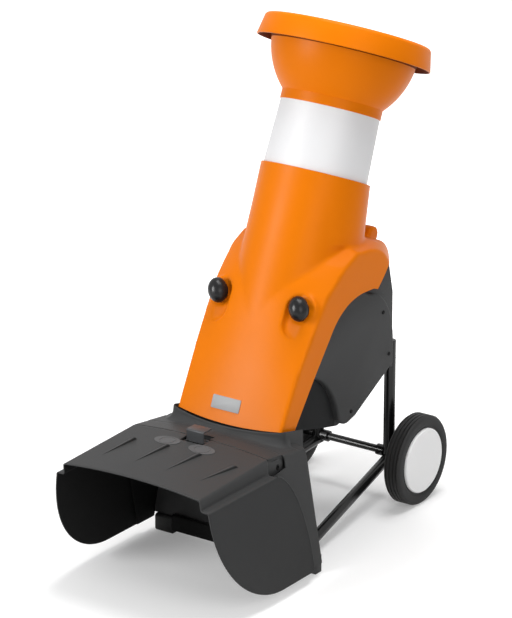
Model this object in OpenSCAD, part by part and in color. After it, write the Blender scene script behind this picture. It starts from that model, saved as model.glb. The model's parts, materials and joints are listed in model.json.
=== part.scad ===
// Electric garden shredder on two wheels: a hood with a feed funnel tilts back over a knife disc,
// and a discharge flap folds up at the front. Millimetres, +Z up, the discharge end towards -Y.
// Lengths along Y are measured from the wheel axle, and the finished part is then centred on its box.

/* [Wheels] */
// Outer diameter of a wheel
wheel_d = 250; // [230:1:270]
// Width of a tyre
wheel_w = 51; // [44:1:58]
// Distance between the middle planes of the two wheels
wheel_track = 406; // [396:1:430]
// Diameter of the rim inside the tyre
rim_d = 190; // [186:1:200]
// Diameter of the pale hub cap
cap_d = 180; // [170:1:180]
// Number of grooves round a tyre
tread_grooves = 4; // [2:1:6]

/* [Frame] */
// Diameter of the axle rod
axle_d = 14; // [12:0.5:16]
// Diameter of the tube over the axle
axle_tube_d = 21; // [19:0.5:24]
// Diameter of a leg tube
leg_d = 27; // [24:0.5:30]
// Distance between the two legs
leg_spacing = 232; // [220:1:240]
// Height of the top of a leg
leg_top_z = 450; // [440:1:480]
// Diameter of a rail and of the front cross bar
rail_d = 25; // [22:0.5:27]
// Wall of the frame's tubes
tube_wall = 2; // [1.5:0.1:2.5]
// Width of a front foot
foot_w = 56; // [50:1:64]
// Depth of a front foot, front to rear
foot_depth = 32; // [28:1:36]
// Height of a front foot
foot_h = 48; // [44:1:52]
// Distance between the middles of the two feet
foot_spacing = 460; // [450:1:470]
// Distance from the axle forward to the feet
foot_reach = 550; // [540:1:560]

/* [Hood] */
// Tilt of the feed axis, back from upright
feed_tilt = 23.4; // [22:0.2:25]
// Height of the middle of the hood's top edge
hood_top_z = 949; // [935:1:965]
// Distance of that point in front of the axle
hood_top_front = 194; // [188:1:200]
// Diameter of the round collar at the hood's top
collar_d = 287; // [284:1:292]
// Width of the hood at its lower edge
hood_w = 330; // [326:1:340]
// How far each side of the hood leans out towards its shoulder
hood_flare = 18; // [14:1:20]
// Wall of the hood
hood_wall = 4; // [3:0.1:5]
// Height of the hood's lower front edge
hood_bottom_z = 374; // [370:1:384]
// Distance between the two clamp knobs
knob_spacing = 256; // [250:1:262]
// Width of an oval clamp knob
knob_d = 52; // [46:1:56]
// Length of an oval clamp knob
knob_len = 68; // [60:1:72]
// Height of a clamp knob
knob_h = 46; // [40:1:52]

/* [Feed tube and funnel] */
// Diameter of the white feed tube at its foot
tube_d = 275; // [270:1:277]
// Diameter of the white feed tube at its top
tube_top_d = 263; // [258:1:266]
// Visible length of the feed tube
tube_len = 172; // [150:1:190]
// Wall of the feed tube and of the funnel
tube_shell = 4; // [3:0.1:5]
// Height of the funnel above the feed tube
funnel_h = 212; // [195:1:225]
// Length of the funnel's straight neck
neck_len = 26; // [20:1:32]
// Diameter of the funnel's bowl under its lip
bowl_d = 388; // [370:1:400]
// How far the bowl's side bulges out of a straight cone
bowl_bow = 11; // [6:1:16]
// Largest diameter of the turned-down lip
lip_d = 468; // [450:1:480]
// Depth of the turned-down lip
lip_h = 61; // [50:1:70]
// How far the lip leans in towards its top
lip_lean = 12; // [8:1:18]

/* [Housing] */
// Width of the dark housing without its side covers
housing_w = 276; // [272:1:282]
// Wall of the housing
housing_wall = 4; // [3:0.1:5]
// Distance of the housing's rear wall in front of the axle
housing_rear = 25; // [22:1:28]
// Height of the top of the rear wall
housing_rear_top = 676; // [664:1:682]
// Height of the housing's lowest stretch
housing_low_z = 300; // [292:1:308]
// How far a side cover stands out of the housing
cover_depth = 19; // [15:0.5:20]
// Wall of a side cover
cover_wall = 3; // [2.5:0.1:4]

/* [Discharge] */
// Distance of the flap's front edge in front of the axle
flap_front = 1008; // [995:1:1020]
// Width of the flap's roof
flap_roof_w = 429; // [424:1:434]
// Height of the roof's side edge at the front
flap_roof_z = 350; // [346:1:354]
// Rise of the roof at its middle
roof_crown = 13; // [10:1:16]
// Wall of the flap and of the discharge base
flap_wall = 3; // [2.5:0.1:3.5]
// Width of the flap over its side panels, at the bottom
flap_w = 564; // [556:1:570]
// Height of the side panels' lower edge above the ground
panel_low_z = 30; // [24:1:40]
// Distance of the flap's pivot in front of the axle
pivot_front = 670; // [665:1:675]
// Height of the flap's pivot
pivot_z = 327; // [324:1:330]
// Diameter of a flap pivot pin
pivot_d = 10; // [8:0.5:12]
// Number of raised ribs on the flap's roof
rib_count = 4; // [3:1:5]

/* [Motor and cutter] */
// Lean of the motor's axis, forward from upright
motor_lean = 24; // [22:0.5:26]
// Diameter of the knife disc
disc_d = 236; // [220:1:240]
// Thickness of the knife disc
disc_t = 8; // [6:0.5:10]
// Diameter of the motor's can
motor_d = 132; // [124:1:140]
// Length of the motor's can
can_len = 132; // [124:1:140]
// Diameter of the motor's shaft
shaft_d = 18; // [16:0.5:20]

/* [Fits] */
// Radial clearance of a running fit
run_gap = 0.05; // [0.02:0.01:0.1]
// Clearance between seated pieces
seat_gap = 0.3; // [0.2:0.05:0.4]

/* [Hidden] */
$fn = 64;

// Wheels and frame
axle_z = wheel_d / 2;
wheel_x = wheel_track / 2;
leg_x = leg_spacing / 2;
hub_in_x = wheel_x - wheel_w / 2 - 5;
hub_out_x = wheel_x + wheel_w / 2 - 6;
clip_t = 2;
axle_end_x = hub_out_x + clip_t + 2.5;
cap_t = 2.5;
cap_out = 4.5;
bush_wall = 4;
hub_wall = 6;
rim_in_r = cap_d / 2 + seat_gap;
leg_low_z = axle_z - 22;
ring_d = 31;
ring_w = 22;
ring_screw_d = 5;
ring_screw_head_d = 10;
foot_x = foot_spacing / 2;
foot_in_x = foot_x - foot_w / 2;
rail_back = [leg_x, 0, axle_z - 14];
rail_front = [foot_in_x - rail_d / 2 - 1.5, -foot_reach, foot_h / 2 - 1];
foot_socket = 10;
bolt_d = 8;
bolt_head_d = 14;
bolt_head_h = 5.5;

// Funnel and box
funnel_top = tube_len + funnel_h;
lip_top_r = lip_d / 2 - lip_lean;
lip_low = funnel_top - lip_h;
hood_top = [0, -hood_top_front, hood_top_z];
lip_edge = 4;
lip_rear_y = hood_top[1] + (funnel_top - lip_edge) * sin(feed_tilt) + lip_top_r * cos(feed_tilt);
axle_y = (flap_front - lip_rear_y) / 2;

// Hood
collar_r = collar_d / 2;
front_n = collar_r + 1.5;
hood_s = (hood_top_z + front_n * sin(feed_tilt) - hood_bottom_z) / cos(feed_tilt);
hood_front_y = hood_top[1] - front_n * cos(feed_tilt) - hood_s * sin(feed_tilt);
bottom_sweep = 14;
shoulder_s = 100;
hood_tube_s = 440;
crown_power = 2.2;
shoulder_x = hood_w / 2 + hood_flare;
// How far the side crease and the middle of the front lie behind the hood's front line,
// against the distance down the feed axis
crease_drop = [[shoulder_s, 238], [140, 196], [166, 163], [224, 111], [312, 65], [417, 43], [530, 24],
    [hood_s, 11]];
crown_drop = [[shoulder_s, 190], [140, 150], [221, 52], [270, 24], [315, 10], [350, 4.5], [400, 1.5],
    [450, 0.3], [hood_s, 0]];
// How far the side walls lie inside the shoulder's width, against the same distance
side_drop = [[shoulder_s, 5], [140, 0], [224, 1], [312, 8], [417, 11], [530, 15.5], [hood_s, hood_flare]];
hood_rows = [shoulder_s, 120, 140, 153, 166, 195, 224, 252, 280, 312, 340, 375, 417, 470, 530, 600, hood_s];
hood_columns = 20;
hinge = [0, -35, 750];
lug_r = 22;
lug_x = [48, 80];
hinge_pin_d = 12;
ear_x = [18, 44];
hood_rear_y = -housing_rear + 10;
hood_rear_z = housing_rear_top + 14;
rear_round = [90, 92];
rear_round_z = 670;
arch_z = 492;
rear_corner = [shoulder_x, hood_rear_y - 93];
rear_end = [shoulder_x - 65, hood_rear_y];
corner_turn = 180 + atan2(rear_corner[0] - rear_end[0], rear_end[1] - rear_corner[1]);
knob_x = knob_spacing / 2;
knob_s = 356;
knob_seat_n = 110;
knob_seat_r = knob_len / 2 + 3;
stud_d = 8;
stud_in = 36;
fork_n = knob_seat_n - 27;
fork_t = 5;

// Housing
housing_x = housing_w / 2;
cover_x = housing_x + cover_depth;
pad_w = 34;
bolt_z = [394, 440];

// Discharge
flap_roof_x = flap_roof_w / 2;
roof_rise = 11;
seam_front = 715;
shelf_drop = 30;
shelf_z = flap_roof_z - shelf_drop;
shelf_x = flap_roof_x + 24;
panel_flare = atan((flap_w / 2 - shelf_x) / (shelf_z - panel_low_z));
base_x = flap_roof_x + 2.5;
base_low_x = base_x + 58;
base_top_z = flap_roof_z - 10;
base_low_z = foot_h;
base_flare = atan((base_low_x - base_x) / (base_top_z - 21));
base_rear = 552;
apron_low_z = 13;
collar_gap = 9;
collar_x = hood_w / 2 + collar_gap;
collar_front_y = hood_front_y - collar_gap;
collar_top_z = hood_bottom_z + 12;
collar_sag = 9;
collar_bulge = 26;
collar_out = 8;
latch_w = 54;
latch_pivot = [0, -700, 358];
latch_pin_d = 6;
notch_w = latch_w + 22;

// Motor and cutter
disc_at = [0, -310, 556];
chamber_r = housing_x - housing_wall - seat_gap;
chamber_wall = 4;
chamber_floor = -42;
chamber_top = 14;
window_r = 66;
window_off = 52;
shield_t = 18;
can_top = chamber_floor - shield_t;
can_low = can_top - can_len;
shaft_low = can_low - shield_t - 18;
core_len = 75;
core_top = can_top - 30;
bearing_r = shaft_d / 2 + 13;

// Switch and inlet
switch_z = 575;
switch_w = 92;
switch_h = 56;
button_r = 11;
button_x = 20;
button_travel = 4;
inlet_z = 490;
inlet_r = 26;

dark = [0.22, 0.22, 0.23];
black = [0.05, 0.05, 0.05];
orange = [0.94, 0.42, 0.02];
steel = [0.68, 0.69, 0.7];

// Places and common shapes

module at_axle() {
    translate([0, axle_y, 0]) children();
}

module on_side(side) {
    if (side > 0) children();
    else mirror([1, 0, 0]) children();
}

module both_sides() {
    for (side = [-1, 1]) on_side(side) children();
}

// Feed axis: z runs up the tube, -y is the hood's front
module on_feed() {
    translate(hood_top) rotate([-feed_tilt, 0, 0]) children();
}

// Motor axis: z runs up through the knife disc
module on_motor() {
    translate(disc_at) rotate([motor_lean, 0, 0]) children();
}

// Side outline of [y, z] points, from x to x + t
module slab_x(x, t) {
    translate([x, 0, 0]) rotate([90, 0, 90]) linear_extrude(t) children();
}

module rod_x(x0, x1, r) {
    translate([x0, 0, 0]) rotate([0, 90, 0]) cylinder(r = r, h = x1 - x0);
}

module pipe_x(x0, x1, r, bore) {
    translate([x0, 0, 0]) rotate([0, 90, 0]) difference() {
        cylinder(r = r, h = x1 - x0);
        translate([0, 0, -1]) cylinder(r = bore, h = x1 - x0 + 2);
    }
}

module rod_y(y0, y1, r) {
    translate([0, y0, 0]) rotate([-90, 0, 0]) cylinder(r = r, h = y1 - y0);
}

module rod_between(p, q, r) {
    d = q - p;
    translate(p) rotate([0, acos(d[2] / norm(d)), atan2(d[1], d[0])]) cylinder(r = r, h = norm(d));
}

module bolt_y(y0, y1) {
    rod_y(y0, y1, bolt_d / 2);
    rod_y(y1, y1 + bolt_head_h, bolt_head_d / 2);
}

function arc_points(c, rx, ry, from, to, n) =
    [for (i = [0:n]) let(a = from + (to - from) * i / n) [c[0] + rx * cos(a), c[1] + ry * sin(a)]];

// Points from p to q that bulge out to the right of that way by a given bow
function bowed(p, q, bow, n) = let(d = q - p, side = [d[1], -d[0]] / norm(d))
    [for (i = [0:n]) let(u = i / n) p + d * u + side * 4 * bow * u * (1 - u)];

// Frame

module axle() {
    color(steel) translate([0, 0, axle_z]) rod_x(-axle_end_x, axle_end_x, axle_d / 2);
}

leg_in_x = leg_x - leg_d / 2 - seat_gap;

module axle_tubes() {
    leg_out_x = leg_x + leg_d / 2 + seat_gap;
    bore = axle_d / 2 + seat_gap;
    color(black) translate([0, 0, axle_z]) {
        pipe_x(-leg_in_x, leg_in_x, axle_tube_d / 2, bore);
        both_sides() pipe_x(leg_out_x, hub_in_x - 0.5, axle_tube_d / 2, bore);
    }
}

// Thick ring on the axle tube beside each leg, held by a screw at its front
module axle_rings() {
    color(black) translate([0, 0, axle_z]) both_sides() difference() {
        pipe_x(leg_in_x - ring_w, leg_in_x, ring_d / 2, axle_tube_d / 2 + 0.1);
        translate([leg_in_x - ring_w / 2, 0, 0]) rod_y(-ring_d, 0, ring_screw_d / 2 + 0.1);
    }
}

module axle_clips() {
    color(steel) translate([0, 0, axle_z])
        both_sides() pipe_x(hub_out_x + 0.5, hub_out_x + 0.5 + clip_t, axle_d / 2 + 6, axle_d / 2);
}

module leg(side) {
    color(black) on_side(side) translate([leg_x, 0, 0]) difference() {
        translate([0, 0, leg_low_z]) cylinder(d = leg_d, h = leg_top_z - leg_low_z);
        translate([0, 0, leg_low_z - 1]) cylinder(d = leg_d - 2 * tube_wall, h = leg_top_z - leg_low_z - 1);
        translate([0, 0, axle_z]) rod_x(-leg_d, leg_d, axle_d / 2 + 0.1);
        for (z = bolt_z) translate([0, 0, z]) rod_y(-leg_d, leg_d, bolt_d / 2 + 0.1);
    }
}

// A rail's ends are cut round to fit the leg and the cross bar
module rail(side) {
    over = (rail_front - rail_back) / 100;
    color(black) on_side(side) difference() {
        rod_between(rail_back, rail_front, rail_d / 2);
        rod_between(rail_back - over, rail_front + over, rail_d / 2 - tube_wall);
        translate([leg_x, 0, 0]) cylinder(r = leg_d / 2 + seat_gap, h = leg_top_z);
        translate([0, -foot_reach, rail_front[2]]) rod_x(0, 2 * foot_x, rail_d / 2 + seat_gap);
    }
}

module front_crossbar() {
    reach = foot_in_x + foot_socket - seat_gap;
    color(black) translate([0, -foot_reach, rail_front[2]])
        pipe_x(-reach, reach, rail_d / 2, rail_d / 2 - tube_wall);
}

module foot(side) {
    low = -foot_reach - foot_depth / 2;
    high = -foot_reach + foot_depth / 2;
    chamfer = 5;
    color(dark) on_side(side) difference() {
        slab_x(foot_in_x, foot_w) polygon([
            [low + chamfer, 0], [high, 0], [high, foot_h], [low + chamfer, foot_h],
            [low, foot_h - chamfer], [low, chamfer]]);
        translate([0, -foot_reach, rail_front[2]])
            rod_x(0, foot_in_x + foot_socket, rail_d / 2 + seat_gap);
    }
}

module frame_bolts() {
    color(steel) both_sides() {
        for (z = bolt_z) translate([leg_x, 0, z]) bolt_y(-housing_rear - housing_wall - 6, leg_d / 2);
        translate([leg_in_x - ring_w / 2, 0, axle_z]) {
            rod_y(-ring_d / 2 - 4, -ring_d / 2, ring_screw_head_d / 2);
            rod_y(-ring_d / 2, -axle_tube_d / 2 - seat_gap, ring_screw_d / 2);
        }
    }
}

// Wheels, about the axle at x = 0 and moved out to their planes

module tyre(side) {
    r = wheel_d / 2;
    half = wheel_w / 2;
    groove_w = 3;
    groove_d = 3;
    shoulder = 9;
    pitch = (wheel_w - 2 * shoulder) / (tread_grooves - 1);
    color(black) on_side(side) translate([wheel_x, 0, axle_z]) rotate([0, 90, 0]) difference() {
        rotate_extrude() polygon(concat(
            [[rim_d / 2 + seat_gap, -half + 4], [rim_d / 2 + 8, -half]],
            arc_points([r - shoulder, -half + shoulder], shoulder, shoulder, -90, 0, 4),
            arc_points([r - shoulder, half - shoulder], shoulder, shoulder, 0, 90, 4),
            [[rim_d / 2 + 8, half], [rim_d / 2 + seat_gap, half - 4]]));
        for (i = [0:tread_grooves - 1]) translate([0, 0, -half + shoulder + i * pitch - groove_w / 2])
            difference() {
                cylinder(r = r + 1, h = groove_w);
                translate([0, 0, -1]) cylinder(r = r - groove_d, h = groove_w + 2);
            }
    }
}

module wheel_rim(side) {
    half = wheel_w / 2;
    hub_r = axle_d / 2 + bush_wall + hub_wall;
    bore = axle_d / 2 + run_gap + bush_wall + 0.1;
    web_t = 6;
    color(dark) on_side(side) translate([0, 0, axle_z]) {
        pipe_x(wheel_x - half + 4, wheel_x + half - 4, rim_d / 2, rim_in_r);
        pipe_x(hub_in_x, hub_out_x, hub_r, bore);
        pipe_x(wheel_x + 4, wheel_x + 4 + web_t, rim_in_r + 1, hub_r - 2);
    }
}

module wheel_bush(side) {
    bore = axle_d / 2 + run_gap;
    color("ivory") on_side(side) translate([0, 0, axle_z])
        pipe_x(hub_in_x, hub_out_x, bore + bush_wall, bore);
}

module hub_cap(side) {
    half = wheel_w / 2;
    r = cap_d / 2;
    back = -12;
    color([0.84, 0.84, 0.84]) on_side(side) translate([wheel_x + half, 0, axle_z]) rotate([0, 90, 0])
        rotate_extrude() polygon([
            [0, cap_out], [r - 14, cap_out], [r, cap_out - 3], [r, back], [r - cap_t, back],
            [r - cap_t, cap_out - 3 - cap_t], [r - 14 - cap_t, cap_out - cap_t], [0, cap_out - cap_t]]);
}

// Housing

// Side outline of the tub: rear wall, sloping belly, lowest stretch, front lip and the edge under the hood
housing_rear_y = -housing_rear;
housing_lip_y = -base_rear + 7;
function housing_outline() = [
    [housing_rear_y, housing_rear_top], [housing_rear_y, housing_low_z + 118], [-230, housing_low_z + 8],
    [-290, housing_low_z], [-345, housing_low_z + 12], [housing_lip_y + 40, housing_low_z + 52],
    [housing_lip_y, housing_low_z + 62], [housing_lip_y, housing_low_z + 84], [-520, 450], [-430, 585],
    [-345, 650], [-250, 668], [-150, 668], [-110, housing_rear_top]];

// Inside of the tub, open along the edge under the hood
function housing_inside() = let(w = housing_wall) [
    [housing_rear_y - w, housing_rear_top + 60], [housing_rear_y - w, housing_low_z + 118 + w * 0.6],
    [-231, housing_low_z + 8 + w * 1.1], [-290, housing_low_z + w], [-344, housing_low_z + 12 + w],
    [housing_lip_y + 41, housing_low_z + 52 + w], [housing_lip_y - 15, housing_low_z + 66 + w],
    [housing_lip_y - 15, housing_rear_top + 60]];

module housing() {
    color(dark) difference() {
        union() {
            slab_x(-housing_x, housing_w) polygon(housing_outline());
            both_sides() translate([leg_x - pad_w / 2, housing_rear_y - 1, bolt_z[0] - 12])
                cube([pad_w, housing_rear - leg_d / 2 + 1 - seat_gap, bolt_z[1] - bolt_z[0] + 26]);
        }
        slab_x(-housing_x + housing_wall, housing_w - 2 * housing_wall) polygon(housing_inside());
        both_sides() for (z = bolt_z) translate([leg_x, 0, z])
            rod_y(-housing_rear - 20, 0, bolt_d / 2 + 0.1);
        translate([-switch_w / 2 + 4, housing_rear_y - 10, switch_z - switch_h / 2 + 4])
            cube([switch_w - 8, 20, switch_h - 8]);
        translate([0, 0, inlet_z]) rod_y(housing_rear_y - 10, 0, inlet_r - 5);
    }
}

// Raised cover: a rear edge, the belly, a curved lower front edge and an edge hidden under the hood
function cover_outline(d) = concat(
    arc_points([-163, 468], 117 - d, 166 - d, 90, 0, 8),
    [[-46 - d, housing_low_z + 108 + 0.7 * d], [-228 - 0.2 * d, housing_low_z + 12 + 1.1 * d]],
    arc_points([-268, housing_low_z + 45], 42 - d, 42 - d, 280, 215, 4),
    arc_points([-470, housing_low_z - 20], 168 + d, 205 + d, 12, 86, 8),
    [[-464 + d, 510], [-404 + 0.7 * d, 590 - 0.7 * d], [-330 + 0.5 * d, 640 - d], [-250, 660 - d],
        [-200, 656 - d]]);

cover_spots = [[-100, 566], [-70, 440], [-250, 332], [-384, 545]];
cover_screw_r = 2.5;
cover_post_r = 8;

module side_cover(side) {
    color(dark) on_side(side) difference() {
        union() {
            difference() {
                slab_x(housing_x, cover_depth) polygon(cover_outline(0));
                slab_x(housing_x - 1, cover_depth - cover_wall + 1) polygon(cover_outline(cover_wall));
            }
            for (p = cover_spots) translate([0, p[0], p[1]]) rod_x(housing_x, cover_x - 1, cover_post_r);
        }
        for (p = cover_spots) translate([0, p[0], p[1]])
            rod_x(housing_x - 1, cover_x + 1, cover_screw_r + 0.1);
    }
}

module cover_screws() {
    color(steel) both_sides() for (p = cover_spots) translate([0, p[0], p[1]]) {
        rod_x(housing_x, cover_x, cover_screw_r);
        rod_x(cover_x, cover_x + 1.8, 2 * cover_screw_r);
    }
}

module duct_floor() {
    half = housing_x - housing_wall - seat_gap;
    color(dark) slab_x(-half, 2 * half)
        polygon([[-442, 488], [-538, 371], [-535, 368], [-438, 486]]);
}

// Discharge base and flap

// Crowned roof section of a given width, with its side edges at height 0
function roof_arc(w, lift) = let(r = (w * w / 4 + roof_crown * roof_crown) / (2 * roof_crown), n = 14)
    [for (i = [0:n]) let(x = -w / 2 + w * i / n) [x, sqrt(r * r - x * x) - r + roof_crown + lift]];

module roof_section(w, low, high) {
    up = roof_arc(w, high);
    down = roof_arc(w, low);
    polygon(concat(up, [for (i = [len(down) - 1:-1:0]) down[i]]));
}

// Roof from y0 back to y1, with the side edges at heights z0 and z1
module roof(w, y0, z0, y1, z1, low, high) {
    slope = atan((z1 - z0) / (y1 - y0));
    translate([0, y0, z0]) rotate([slope + 90, 0, 0]) translate([0, 0, -norm([y1 - y0, z1 - z0])])
        linear_extrude(norm([y1 - y0, z1 - z0])) roof_section(w, low, high);
}

// Plate that flares outward going down from [x, z], with its outline in [y, z below the top]
module flared_plate(x, z, flare, t) {
    translate([x, 0, z]) rotate([0, -flare, 0]) slab_x(-t, t) children();
}

// Plan of the collar round the hood, at a distance d inside its outer face
module collar_plan(d, back) {
    half = collar_x + flap_wall - d;
    front = collar_front_y - collar_out - flap_wall + d;
    polygon(concat([[half, back], [half, front + 40]],
        [for (i = [0:10]) let(u = 1 - i / 5) [u * (half - 4), front + collar_bulge * u * u]],
        [[-half, front + 40], [-half, back]]));
}

seam_z = flap_roof_z + roof_rise;
base_roof_front = [-seam_front + 4, seam_z];
base_roof_rear = [-base_rear - 22, seam_z - 19];
ledge_y = -pivot_front + 30;
ear_t = 6;
ear_x0 = flap_roof_x - 10;

// Side wall, pivot ear and the ledge between them, on one side
module base_side() {
    wall_h = (base_top_z - base_low_z) / cos(base_flare);
    ear_r = 17;
    low = -wall_h - 16;
    flared_plate(base_x, base_top_z, base_flare, flap_wall) polygon([
        [ledge_y, 12], [-base_rear - 24, 6], [-base_rear - 2, -16], [-base_rear, -wall_h * 0.8],
        [-base_rear - 4, low], [-pivot_front + 43, low], [-pivot_front - 20, -150], [-pivot_front - 20, -70],
        [ledge_y, -40]]);
    slab_x(ear_x0, ear_t) difference() {
        union() {
            translate([-pivot_front, pivot_z]) circle(r = ear_r);
            polygon([[-pivot_front - ear_r + 1, pivot_z], [-pivot_front - 12, pivot_z + 28],
                [ledge_y + 40, pivot_z + 16], [ledge_y + 40, pivot_z - 30],
                [-pivot_front + 8, pivot_z - 14]]);
        }
        translate([-pivot_front, pivot_z]) circle(d = pivot_d + 0.2);
    }
    slab_x(ear_x0, base_x - ear_x0 + 1) polygon([
        [ledge_y + 6, pivot_z - 15], [ledge_y + 6, pivot_z + 3], [ledge_y + 42, pivot_z + 13],
        [ledge_y + 42, pivot_z - 15]]);
}

// Roof behind the seam, with a lip that reaches under the flap's rear edge
module base_roof() {
    ledge_z = seam_z - 9.6;
    lip_reach = 46;
    lip_w = 2 * ear_x0 - 4;
    roof(2 * ear_x0 + 8, base_roof_front[0], base_roof_front[1], ledge_y, ledge_z, -flap_wall, 0);
    roof(2 * base_x, ledge_y, ledge_z, base_roof_rear[0], base_roof_rear[1], -flap_wall, 0);
    roof(lip_w, -seam_front - lip_reach, seam_z - 12, -seam_front + 14, seam_z - 6.5, -flap_wall, 0);
    translate([-lip_w / 2 + 20, base_roof_front[0] + 2, seam_z - 4]) cube([40, 6, 6]);
    translate([lip_w / 2 - 60, base_roof_front[0] + 2, seam_z - 4]) cube([40, 6, 6]);
}

// Apron in front of the cross bar, on a step at the foot of the rear wall
module base_apron() {
    front = -foot_reach - rail_d / 2 - 1.5 - flap_wall;
    half = foot_in_x - 2;
    step_z = base_low_z + 10;
    step_from = min(front, -base_rear - flap_wall);
    step_to = max(front + flap_wall, -base_rear - 1);
    translate([-half, front, apron_low_z]) cube([2 * half, flap_wall, step_z - apron_low_z]);
    translate([-half, step_from, step_z - flap_wall]) cube([2 * half, step_to - step_from, flap_wall]);
}

module base_shell() {
    sill_x = collar_x - 16;
    sill_z = housing_low_z + 68;
    difference() {
        union() {
            both_sides() base_side();
            base_roof();
            base_apron();
            both_sides() slab_x(latch_w / 2 + 1, ear_t) polygon([
                [-seam_front + 3, seam_z - 11], [-seam_front + 27, seam_z - 11],
                [-seam_front + 29, seam_z + 7.5], [-seam_front + 3, seam_z + 11]]);
            translate([0, 0, base_top_z - 24]) linear_extrude(collar_top_z - base_top_z + 24)
                collar_plan(0, -base_rear + 47);
            translate([0, -base_rear, 0]) rotate([90, 0, 0]) linear_extrude(flap_wall) polygon([
                [-base_low_x + 6.5, base_low_z], [base_low_x - 6.5, base_low_z],
                [base_x - 1, base_top_z - 8], [sill_x, base_top_z - 8], [sill_x, sill_z],
                [-sill_x, sill_z], [-sill_x, base_top_z - 8], [-base_x + 1, base_top_z - 8]]);
        }
        translate([0, 0, base_top_z - 60]) linear_extrude(200) intersection() {
            collar_plan(flap_wall, -400);
            translate([-collar_x, -700]) square([2 * collar_x, 700 - base_rear - flap_wall]);
        }
        translate([0, 0, base_top_z]) linear_extrude(200) collar_plan(flap_wall, -400);
        collar_rim_cut();
    }
}

// Everything above the collar's rim, which sags in the middle and drops towards the ends of the sides
module collar_rim_cut() {
    half = collar_x + flap_wall + 1;
    above = collar_top_z + 30;
    end_y = -base_rear + 60;
    translate([0, end_y, 0]) rotate([90, 0, 0]) linear_extrude(200) polygon(concat(
        [for (i = [-10:10]) let(u = i / 10) [u * half, collar_top_z - collar_sag * (1 - u * u)]],
        [[half, above], [-half, above]]));
    slab_x(-half, 2 * half) polygon([
        [end_y - 93, collar_top_z + 1], [end_y, collar_top_z - 20], [end_y, above], [end_y - 93, above]]);
}

module discharge_base() {
    saddle_x = [40, 90];
    color(dark) difference() {
        union() {
            base_shell();
            both_sides() slab_x(saddle_x[0], saddle_x[1] - saddle_x[0]) polygon([
                [housing_lip_y - 8, base_top_z - 5], [housing_lip_y + 38, base_top_z - 5],
                [housing_lip_y + 38, housing_low_z + 56], [housing_lip_y - 8, housing_low_z + 62]]);
        }
        slab_x(-housing_x - seat_gap, housing_w + 2 * seat_gap) polygon(housing_outline());
        translate([-latch_w / 2 - 1, latch_pivot[1] - 39, latch_pivot[2] - 9]) cube([latch_w + 2, 54, 60]);
        translate([0, latch_pivot[1], latch_pivot[2]]) rod_x(-80, 80, latch_pin_d / 2 + 0.1);
    }
}

module pivot_pins() {
    color(steel) {
        both_sides() translate([0, -pivot_front, pivot_z])
            rod_x(flap_roof_x - 14, flap_roof_x - 0.5, pivot_d / 2);
        translate([0, latch_pivot[1], latch_pivot[2]])
            rod_x(-latch_w / 2 - 8, latch_w / 2 + 8, latch_pin_d / 2);
    }
}

// Outline of a side panel below the shelf, in [y, z below the shelf]: an elliptical front edge,
// a straight foot and an elliptical rear edge
function panel_outline() = let(h = (shelf_z - panel_low_z) / cos(panel_flare), front = -flap_front + 4)
    concat([[front, 2]], arc_points([front + 264, 6], 264, h + 6, 182, 270, 16),
        arc_points([-720, -h], 122, h - 4, 0, 84, 12), [[-710, 2]]);

// Raised, tapered rib on the roof, in plan
module rib_plan(x) {
    polygon([[x * 0.98 - 3, -flap_front + 64], [x * 0.98 + 3, -flap_front + 64],
        [x + 12, -flap_front + 210], [x - 12, -flap_front + 210]]);
}

module discharge_flap() {
    rib_pitch = 106;
    rib_h = 3;
    skirt_x = flap_roof_x - 0.2;
    skirt_z = shelf_z - flap_wall;
    boss_r = 21;
    roof_front = -flap_front + roof_crown * sin(atan(roof_rise / (flap_front - seam_front)));
    color(dark) difference() {
        union() {
            roof(2 * flap_roof_x, roof_front, flap_roof_z, -seam_front, seam_z, -flap_wall, 0);
            intersection() {
                roof(2 * flap_roof_x, roof_front, flap_roof_z, -seam_front, seam_z, -1, rib_h);
                linear_extrude(600) for (i = [0:rib_count - 1])
                    rib_plan((i - (rib_count - 1) / 2) * rib_pitch);
            }
            both_sides() {
                slab_x(skirt_x - flap_wall, flap_wall) union() {
                    polygon([[-flap_front + 1, flap_roof_z - 2], [-seam_front, seam_z - 2],
                        [-pivot_front + 2, pivot_z + boss_r - 3], [-pivot_front, skirt_z + 0.5],
                        [-flap_front + 1, skirt_z + 0.5]]);
                    translate([-pivot_front, pivot_z]) circle(r = boss_r);
                }
                translate([skirt_x - flap_wall + 1, -flap_front, skirt_z])
                    cube([shelf_x - skirt_x + flap_wall - 2, flap_front - 706, flap_wall]);
                flared_plate(shelf_x, shelf_z, panel_flare, flap_wall) polygon(panel_outline());
            }
        }
        translate([0, -pivot_front, pivot_z]) rod_x(-300, 300, pivot_d / 2 + run_gap);
        translate([-notch_w / 2, latch_pivot[1] - 52, 300]) cube([notch_w, 70, 200]);
    }
}

module latch() {
    half = latch_w / 2;
    color(black) translate(latch_pivot) difference() {
        union() {
            rod_x(-half, half, latch_pin_d / 2 + 3);
            slab_x(-half, latch_w) polygon([
                [-4, 0], [-33, 8], [-35, 34], [2, 34], [2, 31], [-32, 31], [-30.2, 10.3], [0, 2]]);
        }
        rod_x(-half - 1, half + 1, latch_pin_d / 2 + run_gap);
    }
}

// Hood

function crease_n(s) = front_n - lookup(s, crease_drop);
function crown_n(s) = front_n - lookup(s, crown_drop);
function side_x(s) = shoulder_x - lookup(s, side_drop);

// Front of the hood's body: how far it lies from the feed axis, across x and down s
function body_n(x, s) = crease_n(s)
    + (crown_n(s) - crease_n(s)) * (1 - pow(min(1, abs(x) / side_x(s)), crown_power));

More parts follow.
